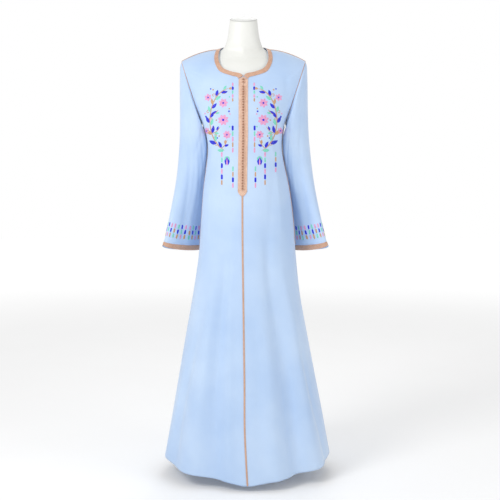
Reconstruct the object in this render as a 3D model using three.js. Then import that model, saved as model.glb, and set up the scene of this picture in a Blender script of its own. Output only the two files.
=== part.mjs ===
// A long kaftan dress worn by a limbless dress form on a round stand.
// Millimetres, +Z up, the dress faces -Y and its left side is at -X. The origin is on the floor,
// under the middle of the stand.
import * as THREE from 'three';

// Cloth and trim
const CLOTH = 2;
const SEAM_GAP = 0.3;
const BRAID = 1.3;
const BRAID_LIFT = 0.4;
const BAND = 15.6; // width of each front's first column, which the placket braid covers
const FRONT = -1;
const BACK = 1;
const COLUMNS = 11; // columns of each half of the front and of the back

// Armhole: a flat loop from the shoulder point to the underarm, given for the +X side
const ARM_TOP = new THREE.Vector3(210, 0, 1418);
const ARM_FOOT = new THREE.Vector3(141, 0, 1205);
const ARM_DEPTH = 55;

// Placket, its row of knots and the narrow centre braid below it
const PLACKET_TIP = 962;
const TIP_HEIGHT = 17;
const BRAID_SHARE = 0.98; // share of its column or row of facets that a braid covers
const BRAID_START = 0.01; // share of the band left free beside the centre front
const MITRE = 0.06; // share of a row left free on each side of the placket's and neck's mitre
const NAPE_FOOT = 0.5; // height of the neck braid's lower end at the back, above its corner
const CENTRE_BRAID_HALF = 3.5;
const CENTRE_BRAID_FOOT = 1; // height of the centre braid's lower end above the hem
const CENTRE_BRAID_LAST = 10; // least height of its last row of facets
const KNOTS = 40;
const KNOT_PITCH = 9.2;
const KNOT_TOP = 1345;
const KNOT_RADIUS = 3.5;
const KNOT_HEIGHT = 3.2;
const KNOT_LIFT = 0.48; // from the braid to a knot's flat foot
const KNOT_SIDES = 6;

// Stand
const BASE_RADIUS = 140;
const BASE_HEIGHT = 12;
const BASE_SIDES = 40;
const POLE_RADIUS = 12.5;
const POLE_SIDES = 16;
const CAP_THICKNESS = 3;
const CAP_BEVEL = 1;
const WELD = 1e-3; // points closer than this are one point

// Level sections from the hem to the underarm. front, side and back are the section's height at the
// centre front, the side seams and the centre back; half is its half-width, ahead and behind are its
// depth at the centre front and the centre back, sway is its shift to +X, line is the shift of the
// centre front alone, and round is the power of its curve (1 is an ellipse, less is squarer). steps
// is the rows of facets up to the next section.
const LEVELS = [
  { front: 20, side: 64, back: 30, half: 287, ahead: 235, behind: 240,
    sway: 11, line: 14, round: 1, steps: 2 },
  { front: 190, side: 212, back: 195, half: 260, ahead: 212, behind: 216,
    sway: 12, line: 5, round: 1, steps: 2 },
  { front: 338, side: 348, back: 340, half: 235, ahead: 193, behind: 196,
    sway: 11, line: 4, round: 1, steps: 1 },
  { front: 482, side: 486, back: 483, half: 210, ahead: 176, behind: 178,
    sway: 10, line: 2, round: 1, steps: 1 },
  { front: 623, side: 624, back: 623, half: 185, ahead: 160, behind: 162,
    sway: 10, line: 0, round: 0.98, steps: 1 },
  { front: 761, side: 761, back: 761, half: 167, ahead: 146, behind: 148,
    sway: 13, line: -2, round: 0.95, steps: 1 },
  { front: 878, side: 878, back: 878, half: 158, ahead: 134, behind: 138,
    sway: 13, line: -3, round: 0.93, steps: 1 },
  { front: 985, side: 985, back: 985, half: 147, ahead: 123, behind: 122,
    sway: 10, line: -3, round: 0.92, steps: 1 },
  { front: 1067, side: 1067, back: 1067, half: 133, ahead: 115, behind: 105,
    sway: 7, line: -2, round: 0.9, steps: 1 },
  { front: 1119, side: 1119, back: 1119, half: 127, ahead: 115, behind: 100,
    sway: 5, line: -1, round: 0.88, steps: 1 },
  { front: 1164, side: 1164, back: 1164, half: 130, ahead: 120, behind: 101,
    sway: 3, line: 0, round: 0.87, steps: 1 },
  { front: 1205, side: 1205, back: 1205, half: 141, ahead: 125, behind: 104,
    sway: 0, line: 0, round: 0.86, steps: 1 },
];

// Rows of each front above the underarm. arm is the place on the armhole, in degrees up from the
// underarm; edge is the centre front and then the neckline, band is the line beside it, from and
// turn are the stretch of the curve, in degrees, that the row takes between band and armhole, and
// arch is the power of its fall to the armhole.
const CHEST = [
  { arm: 25, edgeX: 0, edgeY: -125, edgeZ: 1232, bandX: 15.6, bandY: -124.6, bandZ: 1232,
    from: 6, turn: 82, arch: 1, steps: 1 },
  { arm: 50, edgeX: 0, edgeY: -121, edgeZ: 1265, bandX: 15.6, bandY: -120.6, bandZ: 1265,
    from: 6, turn: 74, arch: 1, steps: 1 },
  { arm: 72, edgeX: 0, edgeY: -113, edgeZ: 1298, bandX: 15.6, bandY: -112.6, bandZ: 1298,
    from: 6, turn: 66, arch: 1, steps: 1 },
  { arm: 94, edgeX: 0, edgeY: -104, edgeZ: 1330, bandX: 15.6, bandY: -104.6, bandZ: 1328,
    from: 6, turn: 59, arch: 1, steps: 1 },
  { arm: 112, edgeX: 0, edgeY: -95, edgeZ: 1358, bandX: 15.6, bandY: -97.5, bandZ: 1348,
    from: 6, turn: 53, arch: 1, steps: 1 },
  { arm: 118, edgeX: 12, edgeY: -91, edgeZ: 1368, bandX: 22, bandY: -94.5, bandZ: 1355,
    from: 8, turn: 51, arch: 1, steps: 1 },
  { arm: 125, edgeX: 37, edgeY: -88, edgeZ: 1373, bandX: 41, bandY: -91.5, bandZ: 1360,
    from: 12, turn: 49, arch: 1.05, steps: 1 },
  { arm: 136, edgeX: 67, edgeY: -79, edgeZ: 1386, bandX: 77, bandY: -81.5, bandZ: 1374,
    from: 20, turn: 46, arch: 1.1, steps: 1 },
  { arm: 148, edgeX: 80, edgeY: -65, edgeZ: 1406, bandX: 93, bandY: -64.5, bandZ: 1399,
    from: 20, turn: 43, arch: 1.2, steps: 1 },
  { arm: 160, edgeX: 83.5, edgeY: -45, edgeZ: 1428, bandX: 98, bandY: -43, bandZ: 1424,
    from: 18, turn: 40, arch: 1.3, steps: 1 },
  { arm: 171, edgeX: 81, edgeY: -21, edgeZ: 1449, bandX: 95, bandY: -19.5, bandZ: 1446,
    from: 15, turn: 38, arch: 1.4, steps: 1 },
  { arm: 180, edgeX: 77, edgeY: 5, edgeZ: 1461, bandX: 91, bandY: 4.6, bandZ: 1457.5,
    from: 12, turn: 36, arch: 1.5, steps: 1 },
];

// Rows of each half of the back above the underarm, with the same columns.
const NAPE = [
  { arm: 25, edgeX: 0, edgeY: 107, edgeZ: 1240, bandX: 15.6, bandY: 106.6, bandZ: 1240,
    from: 6, turn: 82, arch: 1, steps: 1 },
  { arm: 50, edgeX: 0, edgeY: 109, edgeZ: 1282, bandX: 15.6, bandY: 108.6, bandZ: 1282,
    from: 6, turn: 74, arch: 1, steps: 1 },
  { arm: 72, edgeX: 0, edgeY: 108, edgeZ: 1326, bandX: 15.6, bandY: 107.6, bandZ: 1325,
    from: 6, turn: 66, arch: 1, steps: 1 },
  { arm: 94, edgeX: 0, edgeY: 103, edgeZ: 1368, bandX: 15.6, bandY: 102.6, bandZ: 1366,
    from: 6, turn: 60, arch: 1, steps: 1 },
  { arm: 116, edgeX: 0, edgeY: 92, edgeZ: 1412, bandX: 15.6, bandY: 92, bandZ: 1408,
    from: 6, turn: 54, arch: 1, steps: 1 },
  { arm: 136, edgeX: 0, edgeY: 77, edgeZ: 1449, bandX: 16, bandY: 79, bandZ: 1441,
    from: 8, turn: 50, arch: 1.1, steps: 1 },
  { arm: 146, edgeX: 0, edgeY: 68, edgeZ: 1472, bandX: 20, bandY: 71.5, bandZ: 1458,
    from: 10, turn: 48, arch: 1.1, steps: 1 },
  { arm: 155, edgeX: 32, edgeY: 62, edgeZ: 1473, bandX: 40, bandY: 67, bandZ: 1461,
    from: 14, turn: 45, arch: 1.2, steps: 1 },
  { arm: 164, edgeX: 58, edgeY: 46, edgeZ: 1471, bandX: 69, bandY: 52, bandZ: 1461.5,
    from: 15, turn: 42, arch: 1.3, steps: 1 },
  { arm: 172, edgeX: 71, edgeY: 26, edgeZ: 1467, bandX: 84, bandY: 29.5, bandZ: 1461,
    from: 14, turn: 39, arch: 1.4, steps: 1 },
  { arm: 180, edgeX: 77, edgeY: 5, edgeZ: 1461, bandX: 91, bandY: 4.6, bandZ: 1457.5,
    from: 12, turn: 36, arch: 1.5, steps: 1 },
];
const FRONT_NECK_ROW = 4; // the row of CHEST at which the neckline starts
const BACK_NECK_ROW = 6; // the row of NAPE at which the neckline starts

// The skirt's folds. at is the place in degrees round from the centre front, towards +X; spread is
// the half-width in degrees at the hem, depth is out (+) or in (-) at the hem, top is where it ends.
const FOLDS = [
  { at: -23, spread: 10, depth: -15, top: 900 },
  { at: -44, spread: 11, depth: 9, top: 760 },
  { at: -66, spread: 10, depth: -8, top: 640 },
  { at: 22, spread: 9, depth: 6, top: 600 },
  { at: 37, spread: 9, depth: -17, top: 940 },
  { at: 57, spread: 11, depth: 11, top: 800 },
  { at: 76, spread: 9, depth: -7, top: 600 },
  { at: 104, spread: 13, depth: 10, top: 820 },
  { at: 127, spread: 11, depth: -16, top: 930 },
  { at: 150, spread: 11, depth: 10, top: 760 },
  { at: 171, spread: 10, depth: -14, top: 860 },
  { at: 194, spread: 12, depth: 12, top: 980 },
  { at: 217, spread: 10, depth: -15, top: 790 },
  { at: 239, spread: 12, depth: 9, top: 890 },
  { at: 259, spread: 10, depth: -9, top: 700 },
];
const FOLD_GROWTH = 1.4; // the power by which a fold deepens towards the hem
const FOLD_NARROW = 0.6; // a fold's spread at its top, as a share of its spread at the hem
const HEM_ARCH = 0.75; // the power of a level section's climb to the side seam

// The bust's fullness on each front
const BUST = { x: 76, z: 1192, halfWidth: 52, halfHeight: 62, depth: 9 };

// Sections of the sleeve after the armhole, for the +X side. out and in are the section's outer and
// inner end; ahead and behind are its depth to each side of the line between them.
const SLEEVE = [
  { outX: 213.5, outY: 0, outZ: 1402, inX: 144, inY: 2, inZ: 1190, ahead: 58, behind: 58, steps: 1 },
  { outX: 215, outY: 0, outZ: 1365, inX: 134, inY: 6, inZ: 1166, ahead: 60, behind: 60, steps: 1 },
  { outX: 215.5, outY: 2, outZ: 1300, inX: 131, inY: 13, inZ: 1132, ahead: 58, behind: 59, steps: 1 },
  { outX: 214.5, outY: 3, outZ: 1220, inX: 135, inY: 25, inZ: 1092, ahead: 53, behind: 56, steps: 1 },
  { outX: 214, outY: 3, outZ: 1130, inX: 146, inY: 42, inZ: 1040, ahead: 46, behind: 51, steps: 1 },
  { outX: 222, outY: 2, outZ: 1026, inX: 155, inY: 66, inZ: 970, ahead: 36, behind: 43, steps: 1 },
  { outX: 246, outY: -2, outZ: 910, inX: 156, inY: 94, inZ: 886, ahead: 28, behind: 33, steps: 1 },
  { outX: 271, outY: -10, outZ: 804, inX: 158, inY: 118, inZ: 792, ahead: 23, behind: 24, steps: 1 },
  { outX: 275, outY: -11, outZ: 791, inX: 158, inY: 120, inZ: 778, ahead: 22, behind: 23, steps: 1 },
];
const CUFF_DIP = 13; // how far the middle of the cuff hangs below its ends
const DIP_POWER = 4;
const RIGHT_FLARE = 14; // how much farther the +X sleeve swings out at the cuff
const FLARE_POWER = 2;
const INNER_SWAY = 11; // how far both sleeves' inner ends swing to +X with the skirt
const SWAY_FULL = 0.8; // the share of the sleeve's length at which that swing is whole

// The dress form's level sections. power is the power of the section's outline (2 is an ellipse,
// 1 is a diamond); tilt is the rise of the section towards +Y.
const FORM = [
  { z: 770, half: 118, ahead: 84, behind: 88, power: 2.2, tilt: 0, steps: 1 },
  { z: 785, half: 132, ahead: 98, behind: 104, power: 2.2, tilt: 0, steps: 1 },
  { z: 870, half: 138, ahead: 108, behind: 118, power: 2.2, tilt: 0, steps: 1 },
  { z: 970, half: 128, ahead: 106, behind: 108, power: 2.2, tilt: 0, steps: 1 },
  { z: 1070, half: 116, ahead: 98, behind: 90, power: 2.2, tilt: 0, steps: 1 },
  { z: 1130, half: 115, ahead: 106, behind: 92, power: 2.2, tilt: 0, steps: 1 },
  { z: 1195, half: 127, ahead: 118, behind: 97, power: 2.25, tilt: 0, steps: 1 },
  { z: 1250, half: 139, ahead: 116, behind: 99, power: 2.2, tilt: 0, steps: 1 },
  { z: 1300, half: 156, ahead: 107, behind: 100, power: 2.1, tilt: 0, steps: 1 },
  { z: 1350, half: 175, ahead: 93, behind: 93, power: 1.95, tilt: 0, steps: 1 },
  { z: 1382, half: 188, ahead: 80, behind: 84, power: 1.8, tilt: 0, steps: 1 },
  { z: 1404, half: 195, ahead: 69, behind: 76, power: 1.65, tilt: 0, steps: 1 },
  { z: 1418, half: 187, ahead: 58, behind: 69, power: 1.42, tilt: 0, steps: 1 },
  { z: 1430, half: 151, ahead: 53, behind: 65, power: 1.28, tilt: 0, steps: 1 },
  { z: 1440, half: 119, ahead: 50, behind: 62, power: 1.2, tilt: 0, steps: 1 },
  { z: 1450, half: 86, ahead: 47, behind: 60, power: 1.22, tilt: 0, steps: 1 },
  { z: 1460, half: 67, ahead: 45, behind: 59, power: 1.55, tilt: 0, steps: 1 },
  { z: 1475, half: 61, ahead: 46, behind: 57, power: 1.9, tilt: 0.02, steps: 1 },
  { z: 1500, half: 53, ahead: 44, behind: 53, power: 2, tilt: 0.1, steps: 1 },
  { z: 1530, half: 50, ahead: 45, behind: 49, power: 2, tilt: 0.24, steps: 1 },
  { z: 1558, half: 46.5, ahead: 44, behind: 46, power: 2, tilt: 0.34, steps: 1 },
];
const FORM_COLUMNS = 28;

const radians = THREE.MathUtils.degToRad;
const clothMaterial = new THREE.MeshStandardMaterial({ color: 0xb9d4f6, roughness: 0.75 });
const braidMaterial = new THREE.MeshStandardMaterial({ color: 0xd79a78, roughness: 0.5 });
const formMaterial = new THREE.MeshStandardMaterial({ color: 0xf2f2ec, roughness: 0.45 });
const capMaterial = new THREE.MeshStandardMaterial({ color: 0xdcdcd6, roughness: 0.5 });
const steelMaterial = new THREE.MeshStandardMaterial({ color: 0xb8bcc0, roughness: 0.35, metalness: 0.9 });

const kaftan = new THREE.Group();

function add(name, geometry, material) {
  const mesh = new THREE.Mesh(geometry, material);
  mesh.name = name;
  kaftan.add(mesh);
  return mesh;
}

// A value between sections k and k + 1, on a smooth curve through the sections round them.
function between(rows, key, k, share) {
  const [a, b, c, d] = [-1, 0, 1, 2].map((step) => (
    rows[THREE.MathUtils.clamp(k + step, 0, rows.length - 1)][key]
  ));
  const cube = share * (3 * (b - c) + d - a);
  return b + 0.5 * share * (c - a + share * (2 * a - 5 * b + 4 * c - d + cube));
}

// All the rows of a table: each section and its steps up to the next one.
function spread(table) {
  const keys = Object.keys(table[0]);
  const rows = [];
  for (let k = 0; k < table.length - 1; k += 1) {
    for (let step = 0; step < table[k].steps; step += 1) {
      const share = step / table[k].steps;
      rows.push(Object.fromEntries(keys.map((key) => [key, between(table, key, k, share)])));
    }
  }
  rows.push({ ...table.at(-1) });
  return rows;
}

// A point of the armhole, in degrees up from the underarm, on the front or the back.
function armhole(degrees, face) {
  const point = ARM_TOP.clone().add(ARM_FOOT).multiplyScalar(0.5);
  const rise = ARM_TOP.clone().sub(ARM_FOOT).multiplyScalar(0.5);
  point.addScaledVector(rise, -Math.cos(radians(degrees)));
  point.y += face * ARM_DEPTH * Math.sin(radians(degrees));
  return point;
}

// The direction out of the armhole's plane, on one side.
function armholeOut(side) {
  const rise = ARM_TOP.clone().sub(ARM_FOOT);
  return new THREE.Vector3(side * rise.z, 0, -rise.x).normalize();
}

// A level section as a row with the columns of CHEST and NAPE.
function levelRow(level, face) {
  const from = Math.asin((BAND / level.half) ** (1 / level.round));
  const depth = face === FRONT ? level.ahead : level.behind;
  const height = face === FRONT ? level.front : level.back;
  return {
    arm: 0, half: level.half, side: level.side, round: level.round,
    sway: level.sway, line: face === FRONT ? level.line : level.sway,
    edgeX: 0, edgeY: face * depth, edgeZ: height,
    bandX: BAND, bandY: face * depth * Math.cos(from) ** level.round, bandZ: height,
    from: THREE.MathUtils.radToDeg(from), turn: 90, arch: HEM_ARCH, steps: level.steps,
  };
}

function panelRows(face, upper) {
  const lower = LEVELS.map((level) => levelRow(level, face));
  const last = lower.at(-1);
  const rest = upper.map((row) => ({
    ...row, half: armhole(row.arm, face).x, side: armhole(row.arm, face).z,
    sway: 0, line: 0, round: last.round,
  }));
  return [...lower, ...rest];
}

// How far the skirt's folds move its wall out, at an angle round from the centre front.
function foldOut(degrees, z) {
  let out = 0;
  for (const fold of FOLDS) {
    const rise = THREE.MathUtils.clamp((fold.top - z) / fold.top, 0, 1);
    const away = ((degrees - fold.at + 540) % 360) - 180;
    const width = fold.spread * (FOLD_NARROW + (1 - FOLD_NARROW) * rise);
    out += fold.depth * rise ** FOLD_GROWTH * Math.exp(-((away / width) ** 2));
  }
  return out;
}

function bustOut(x, z) {
  const across = (x - BUST.x) / BUST.halfWidth;
  const up = (z - BUST.z) / BUST.halfHeight;
  return BUST.depth * Math.exp(-across * across - up * up);
}

// The points of one row of half a panel, from its centre column to its seam. Each carries the axis
// across the seam that it lies on, if any, and whether it is on the armhole.
function rowPoints(row, face, side, isTop) {
  const foot = new THREE.Vector3(row.half, 0, row.side);
  const outer = row.arm > 0 ? armhole(row.arm, face) : foot;
  const power = (value) => Math.max(value, 0) ** row.round;
  const start = radians(row.from);
  const end = radians(row.turn);
  const points = [];
  for (let column = 0; column <= COLUMNS; column += 1) {
    const share = Math.max(0, (column - 1) / (COLUMNS - 1));
    const angle = start + (end - start) * share;
    const across = (power(Math.sin(angle)) - power(Math.sin(start)))
      / (power(Math.sin(end)) - power(Math.sin(start)));
    const deep = (power(Math.cos(angle)) - power(Math.cos(end)))
      / (power(Math.cos(start)) - power(Math.cos(end)));
    const point = new THREE.Vector3(
      row.bandX + (outer.x - row.bandX) * across,
      outer.y + (row.bandY - outer.y) * deep,
      row.bandZ + (outer.z - row.bandZ) * share ** row.arch,
    );
    if (column === 0) {
      point.set(Math.max(row.edgeX, 0), row.edgeY, row.edgeZ);
    }
    const turned = THREE.MathUtils.radToDeg(Math.atan2(point.x / row.half, Math.abs(point.y / row.bandY)));
    const round = face === FRONT ? side * turned : 180 - side * turned;
    const away = new THREE.Vector3(point.x / row.half ** 2, point.y / row.bandY ** 2, 0).normalize();
    point.addScaledVector(away, foldOut(round, point.z));
    if (face === FRONT) {
      point.y -= bustOut(point.x, point.z) * (1 - share ** 2);
      point.x += 0.5 * SEAM_GAP * (1 - share);
    }
    point.x = side * point.x + row.line + (row.sway - row.line) * share;
    point.y += 0.5 * SEAM_GAP * face;
    const onSide = column === COLUMNS && row.arm <= 0;
    const onCentre = column === 0 && row.edgeX <= 0;
    points.push({
      point,
      flat: `${isTop || onSide ? 'y' : ''}${onCentre ? 'x' : ''}`,
      armSide: column === COLUMNS && row.side >= ARM_FOOT.z ? side : 0,
    });
  }
  return points;
}

function halfPanel(face, side, table) {
  const rows = spread(table);
  return rows.map((row, k) => rowPoints(row, face, side, k === rows.length - 1));
}

// The four-sided facets of a grid of points, wound to face outwards.
function facets(grid, flip) {
  const quads = [];
  for (let i = 0; i < grid.length - 1; i += 1) {
    for (let j = 0; j < grid[i].length - 1; j += 1) {
      const quad = [grid[i][j], grid[i][j + 1], grid[i + 1][j + 1], grid[i + 1][j]];
      quads.push(flip ? quad.reverse() : quad);
    }
  }
  return quads;
}

// Where the inner face of a wall lies, from its outer point. A point on a seam keeps its edge square
// to the seam, and one on an armhole doesn't cross the armhole's plane.
function inwards(corner, thickness) {
  const normal = corner.normal.clone();
  for (const axis of corner.flat ?? '') {
    normal[axis] = 0;
  }
  const step = normal.normalize().multiplyScalar(-thickness);
  if (corner.armSide) {
    const out = armholeOut(corner.armSide);
    step.addScaledVector(out, -Math.max(0, step.dot(out)));
  }
  return step;
}

// A closed wall of a given thickness, inwards from facets whose corners are { point } objects.
// Corners at one place are welded, and each facet's corners are given their outward normal.
function wall(quads, thickness) {
  const welded = new Map();
  const corners = [];
  const number = (corner) => {
    const key = corner.point.toArray().map((value) => Math.round(value / WELD)).join();
    if (!welded.has(key)) {
      welded.set(key, corners.length);
      corners.push({ ...corner, normal: new THREE.Vector3() });
    }
    return welded.get(key);
  };
  const triangles = quads.flatMap((quad) => {
    const [a, b, c, d] = quad.map(number);
    const across = corners[c].point.clone().sub(corners[a].point);
    const normal = across.cross(corners[d].point.clone().sub(corners[b].point));
    [a, b, c, d].forEach((k) => corners[k].normal.add(normal));
    return [[a, b, c], [a, c, d]];
  }).filter(([a, b, c]) => a !== b && b !== c && a !== c);
  const edges = new Set();
  for (const [a, b, c] of triangles) {
    [[a, b], [b, c], [c, a]].forEach((edge) => edges.add(edge.join()));
  }
  corners.forEach((corner) => corner.normal.normalize());
  quads.flat().forEach((corner) => {
    corner.normal = corners[number(corner)].normal;
  });
  const count = corners.length;
  const inner = corners.map((corner) => corner.point.clone().add(inwards(corner, thickness)));
  const faces = triangles.flatMap(([a, b, c]) => [a, b, c, c + count, b + count, a + count]);
  for (const edge of edges) {
    const [a, b] = edge.split(',').map(Number);
    if (!edges.has(`${b},${a}`)) {
      faces.push(b, a, a + count, b, a + count, b + count);
    }
  }
  const positions = [...corners.map((corner) => corner.point), ...inner].flatMap((p) => p.toArray());
  const geometry = new THREE.BufferGeometry();
  geometry.setAttribute('position', new THREE.Float32BufferAttribute(positions, 3));
  geometry.setIndex(faces);
  geometry.computeVertexNormals();
  return geometry;
}

// A place on a panel, between its own points, moved out from it by lift.
function onPanel(grid, row, column, lift) {
  const i = Math.min(Math.floor(row), grid.length - 2);
  const j = Math.min(Math.floor(column), grid[0].length - 2);
  const blend = (key) => {
    const low = grid[i][j][key].clone().lerp(grid[i][j + 1][key], column - j);
    const high = grid[i + 1][j][key].clone().lerp(grid[i + 1][j + 1][key], column - j);
    return low.lerp(high, row - i);
  };
  return blend('point').addScaledVector(blend('normal').normalize(), lift);
}

// The row of a panel, with its fraction, at which the centre column has a given height.
function rowAt(grid, z) {
  const i = grid.findIndex((row, k) => k > 0 && row[0].point.z >= z);
  const low = grid[i - 1][0].point.z;
  const high = grid[i][0].point.z;
  return i - 1 + (z - low) / (high - low);
}

// Panels
const frontTable = panelRows(FRONT, CHEST);
const backTable = panelRows(BACK, NAPE);
const rowsBelow = (table, upperRow) => (
  table.slice(0, LEVELS.length + upperRow).reduce((sum, row) => sum + row.steps, 0)
);
const FRONT_NECK = rowsBelow(frontTable, FRONT_NECK_ROW);
const BACK_NECK = rowsBelow(backTable, BACK_NECK_ROW);
const UNDERARM = rowsBelow(frontTable, -1);
const fronts = { left: halfPanel(FRONT, -1, frontTable), right: halfPanel(FRONT, 1, frontTable) };
const backs = { left: halfPanel(BACK, -1, backTable), right: halfPanel(BACK, 1, backTable) };
add('front_left', wall(facets(fronts.left, true), CLOTH), clothMaterial);
add('front_right', wall(facets(fronts.right, false), CLOTH), clothMaterial);
add('back', wall([...facets(backs.left, false), ...facets(backs.right, true)], CLOTH), clothMaterial);

// A section of a sleeve, with a corner at each of the armhole's own angles.
function sleeveRing(row, side, angles, share) {
  const swing = side > 0 ? RIGHT_FLARE * share ** FLARE_POWER : 0;
  const outer = new THREE.Vector3(row.outX + swing, row.outY, row.outZ);
  const sway = side * INNER_SWAY * Math.min(1, share / SWAY_FULL);
  const inner = new THREE.Vector3(row.inX + sway, row.inY, row.inZ);
  const middle = outer.clone().add(inner).multiplyScalar(0.5);
  const reach = outer.clone().sub(inner).multiplyScalar(0.5);
  const ahead = new THREE.Vector3(reach.y, -reach.x, 0).normalize();
  return angles.map(({ degrees, face }) => {
    const sine = Math.sin(radians(degrees));
    const point = middle.clone().addScaledVector(reach, -Math.cos(radians(degrees)));
    point.addScaledVector(ahead, sine * (face === FRONT ? row.ahead : -row.behind));
    point.z -= CUFF_DIP * share ** DIP_POWER * sine;
    point.x *= side;
    return { point };
  });
}

// The sleeve starts on the armhole of its own front and back, just outside it.
function sleeve(name, side) {
  const front = fronts[name].slice(UNDERARM).map((row) => row.at(-1));
  const back = backs[name].slice(UNDERARM).map((row) => row.at(-1));
  const angleOf = (corner) => {
    const share = (corner.point.z - ARM_FOOT.z) / (ARM_TOP.z - ARM_FOOT.z);
    return THREE.MathUtils.radToDeg(Math.acos(THREE.MathUtils.clamp(1 - 2 * share, -1, 1)));
  };
  const loop = [
    ...front.map((corner) => ({ corner, face: FRONT })),
    ...back.slice(1, -1).reverse().map((corner) => ({ corner, face: BACK })),
  ];
  const angles = loop.map(({ corner, face }) => ({ degrees: angleOf(corner), face }));
  const start = loop.map(({ corner }) => ({
    point: corner.point.clone().addScaledVector(armholeOut(side), SEAM_GAP),
  }));
  const armholeRow = {
    outX: ARM_TOP.x, outY: 0, outZ: ARM_TOP.z, inX: ARM_FOOT.x, inY: 0, inZ: ARM_FOOT.z,
    ahead: ARM_DEPTH, behind: ARM_DEPTH, steps: 1,
  };
  const rows = spread([armholeRow, ...SLEEVE]).slice(1);
  const rings = rows.map((row, k) => sleeveRing(row, side, angles, (k + 1) / rows.length));
  return [start, ...rings].map((ring) => [...ring, ring[0]]);
}

// A sleeve's wall. Its first edge lies flat in the armhole's plane.
function sleeveWall(grid, side) {
  const middle = ARM_TOP.clone().add(ARM_FOOT).multiplyScalar(0.5);
  middle.x *= side;
  const geometry = wall(facets(grid, side < 0), CLOTH);
  const positions = geometry.getAttribute('position');
  const count = positions.count / 2;
  const out = armholeOut(side);
  for (let k = 0; k < grid[0].length - 1; k += 1) {
    const corner = grid[0][k].point;
    const towards = middle.clone().sub(corner);
    towards.addScaledVector(out, -towards.dot(out)).setLength(CLOTH);
    const place = corner.clone().add(towards);
    for (let m = 0; m < count; m += 1) {
      if (new THREE.Vector3().fromBufferAttribute(positions, m).distanceTo(corner) < WELD) {
        positions.setXYZ(m + count, place.x, place.y, place.z);
      }
    }
  }
  return geometry;
}

const sleeves = { left: sleeve('left', -1), right: sleeve('right', 1) };
add('sleeve_left', sleeveWall(sleeves.left, -1), clothMaterial);
add('sleeve_right', sleeveWall(sleeves.right, 1), clothMaterial);

// Cuff braid: over the last ring of facets of the sleeve
function cuffBraid(grid, side) {
  const last = grid.length - 1;
  const rings = [last - BRAID_SHARE, last].map((row) => grid[last].map((corner, k) => ({
    point: onPanel(grid, row, k, BRAID_LIFT + BRAID),
  })));
  return wall(facets(rings, side < 0), BRAID);
}

add('cuff_braid_left', cuffBraid(sleeves.left, -1), braidMaterial);
add('cuff_braid_right', cuffBraid(sleeves.right, 1), braidMaterial);

// Neck braid: beside the neckline, from the placket over the shoulder seam to the centre back
function neckBraid(name, side) {
  const front = fronts[name];
  const back = backs[name];
  const pair = (grid, row) => [onPanel(grid, row, 0, BRAID_LIFT + BRAID),
    onPanel(grid, row, BRAID_SHARE, BRAID_LIFT + BRAID)];
  const rows = [pair(front, FRONT_NECK + MITRE)];
  for (let i = FRONT_NECK + 1; i < front.length; i += 1) {
    rows.push(pair(front, i));
  }
  for (let i = back.length - 2; i >= BACK_NECK; i -= 1) {
    rows.push(pair(back, i));
  }
  const low = rowAt(back, back[BACK_NECK][1].point.z + NAPE_FOOT);
  rows.push([onPanel(back, BACK_NECK, 0, BRAID_LIFT + BRAID), onPanel(back, low, 0, BRAID_LIFT + BRAID)]);
  const grid = rows.map((row) => row.map((point) => {
    point.x = side * Math.max(side * point.x, 0.5 * SEAM_GAP);
    return { point, flat: Math.abs(point.x) < SEAM_GAP ? 'x' : '' };
  }));
  return wall(facets(grid, side < 0), BRAID);
}

// Placket braid: beside the centre front, from above the tip to the neck braid
function placketBraid(name, side) {
  const grid = fronts[name];
  const first = rowAt(grid, PLACKET_TIP + TIP_HEIGHT + SEAM_GAP);
  const rows = [first];
  for (let i = Math.ceil(first); i < FRONT_NECK; i += 1) {
    rows.push(i);
  }
  rows.push(FRONT_NECK - MITRE);
  const strip = rows.map((row) => [BRAID_START, BRAID_SHARE].map((column) => ({
    point: onPanel(grid, row, column, BRAID_LIFT + BRAID),
  })));
  return wall(facets(strip, side < 0), BRAID);
}

for (const [name, side] of [['left', -1], ['right', 1]]) {
  add(`neck_braid_${name}`, neckBraid(name, side), braidMaterial);
  add(`placket_braid_${name}`, placketBraid(name, side), braidMaterial);
}

// A place on the centre front line, or to one side of it, moved out from the fronts.
function onCentre(z, x, lift) {
  const name = x < 0 ? 'left' : 'right';
  const right = onPanel(fronts.right, rowAt(fronts.right, z), Math.abs(x) / BAND, lift);
  if (x !== 0) {
    return onPanel(fronts[name], rowAt(fronts[name], z), Math.abs(x) / BAND, lift);
  }
  return right.lerp(onPanel(fronts.left, rowAt(fronts.left, z), 0, lift), 0.5);
}

// A strip along the centre front, over both fronts. Each row gives a height and a half-width.
function centreStrip(rows, thickness) {
  const grid = rows.map(({ z, half }) => [-half, 0, half].map((x) => ({
    point: onCentre(z, x, BRAID_LIFT + thickness),
  })));
  return wall(facets(grid, false), thickness);
}

const tipShape = [
  { rise: 0, half: 2.5 },
  { rise: 0.35, half: 9.5 },
  { rise: 0.7, half: 14 },
  { rise: 1, half: 15.2 },
];
const tipRows = tipShape.map(({ rise, half }) => ({ z: PLACKET_TIP + rise * TIP_HEIGHT, half }));
add('placket_tip', centreStrip(tipRows, 2 * BRAID), braidMaterial);

const centreFoot = LEVELS[0].front + CENTRE_BRAID_FOOT;
const centreRows = fronts.right
  .map((row) => row[0].point.z)
  .filter((z) => z < PLACKET_TIP - CENTRE_BRAID_LAST)
  .map((z) => ({ z: Math.max(z, centreFoot), half: CENTRE_BRAID_HALF }));
centreRows.push({ z: PLACKET_TIP - SEAM_GAP, half: CENTRE_BRAID_HALF });
add('centre_braid', centreStrip(centreRows, BRAID), braidMaterial);

// Knots: small domed buttons down the middle of the placket, standing on its two braids
function knot() {
  const profile = [[0, 0], [0.85, 0], [1, 0.35], [0.72, 0.8], [0, 1]]; // shares of radius and height
  const points = profile.map(([r, h]) => new THREE.Vector2(r * KNOT_RADIUS, h * KNOT_HEIGHT));
  return new THREE.LatheGeometry(points, KNOT_SIDES);
}

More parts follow.
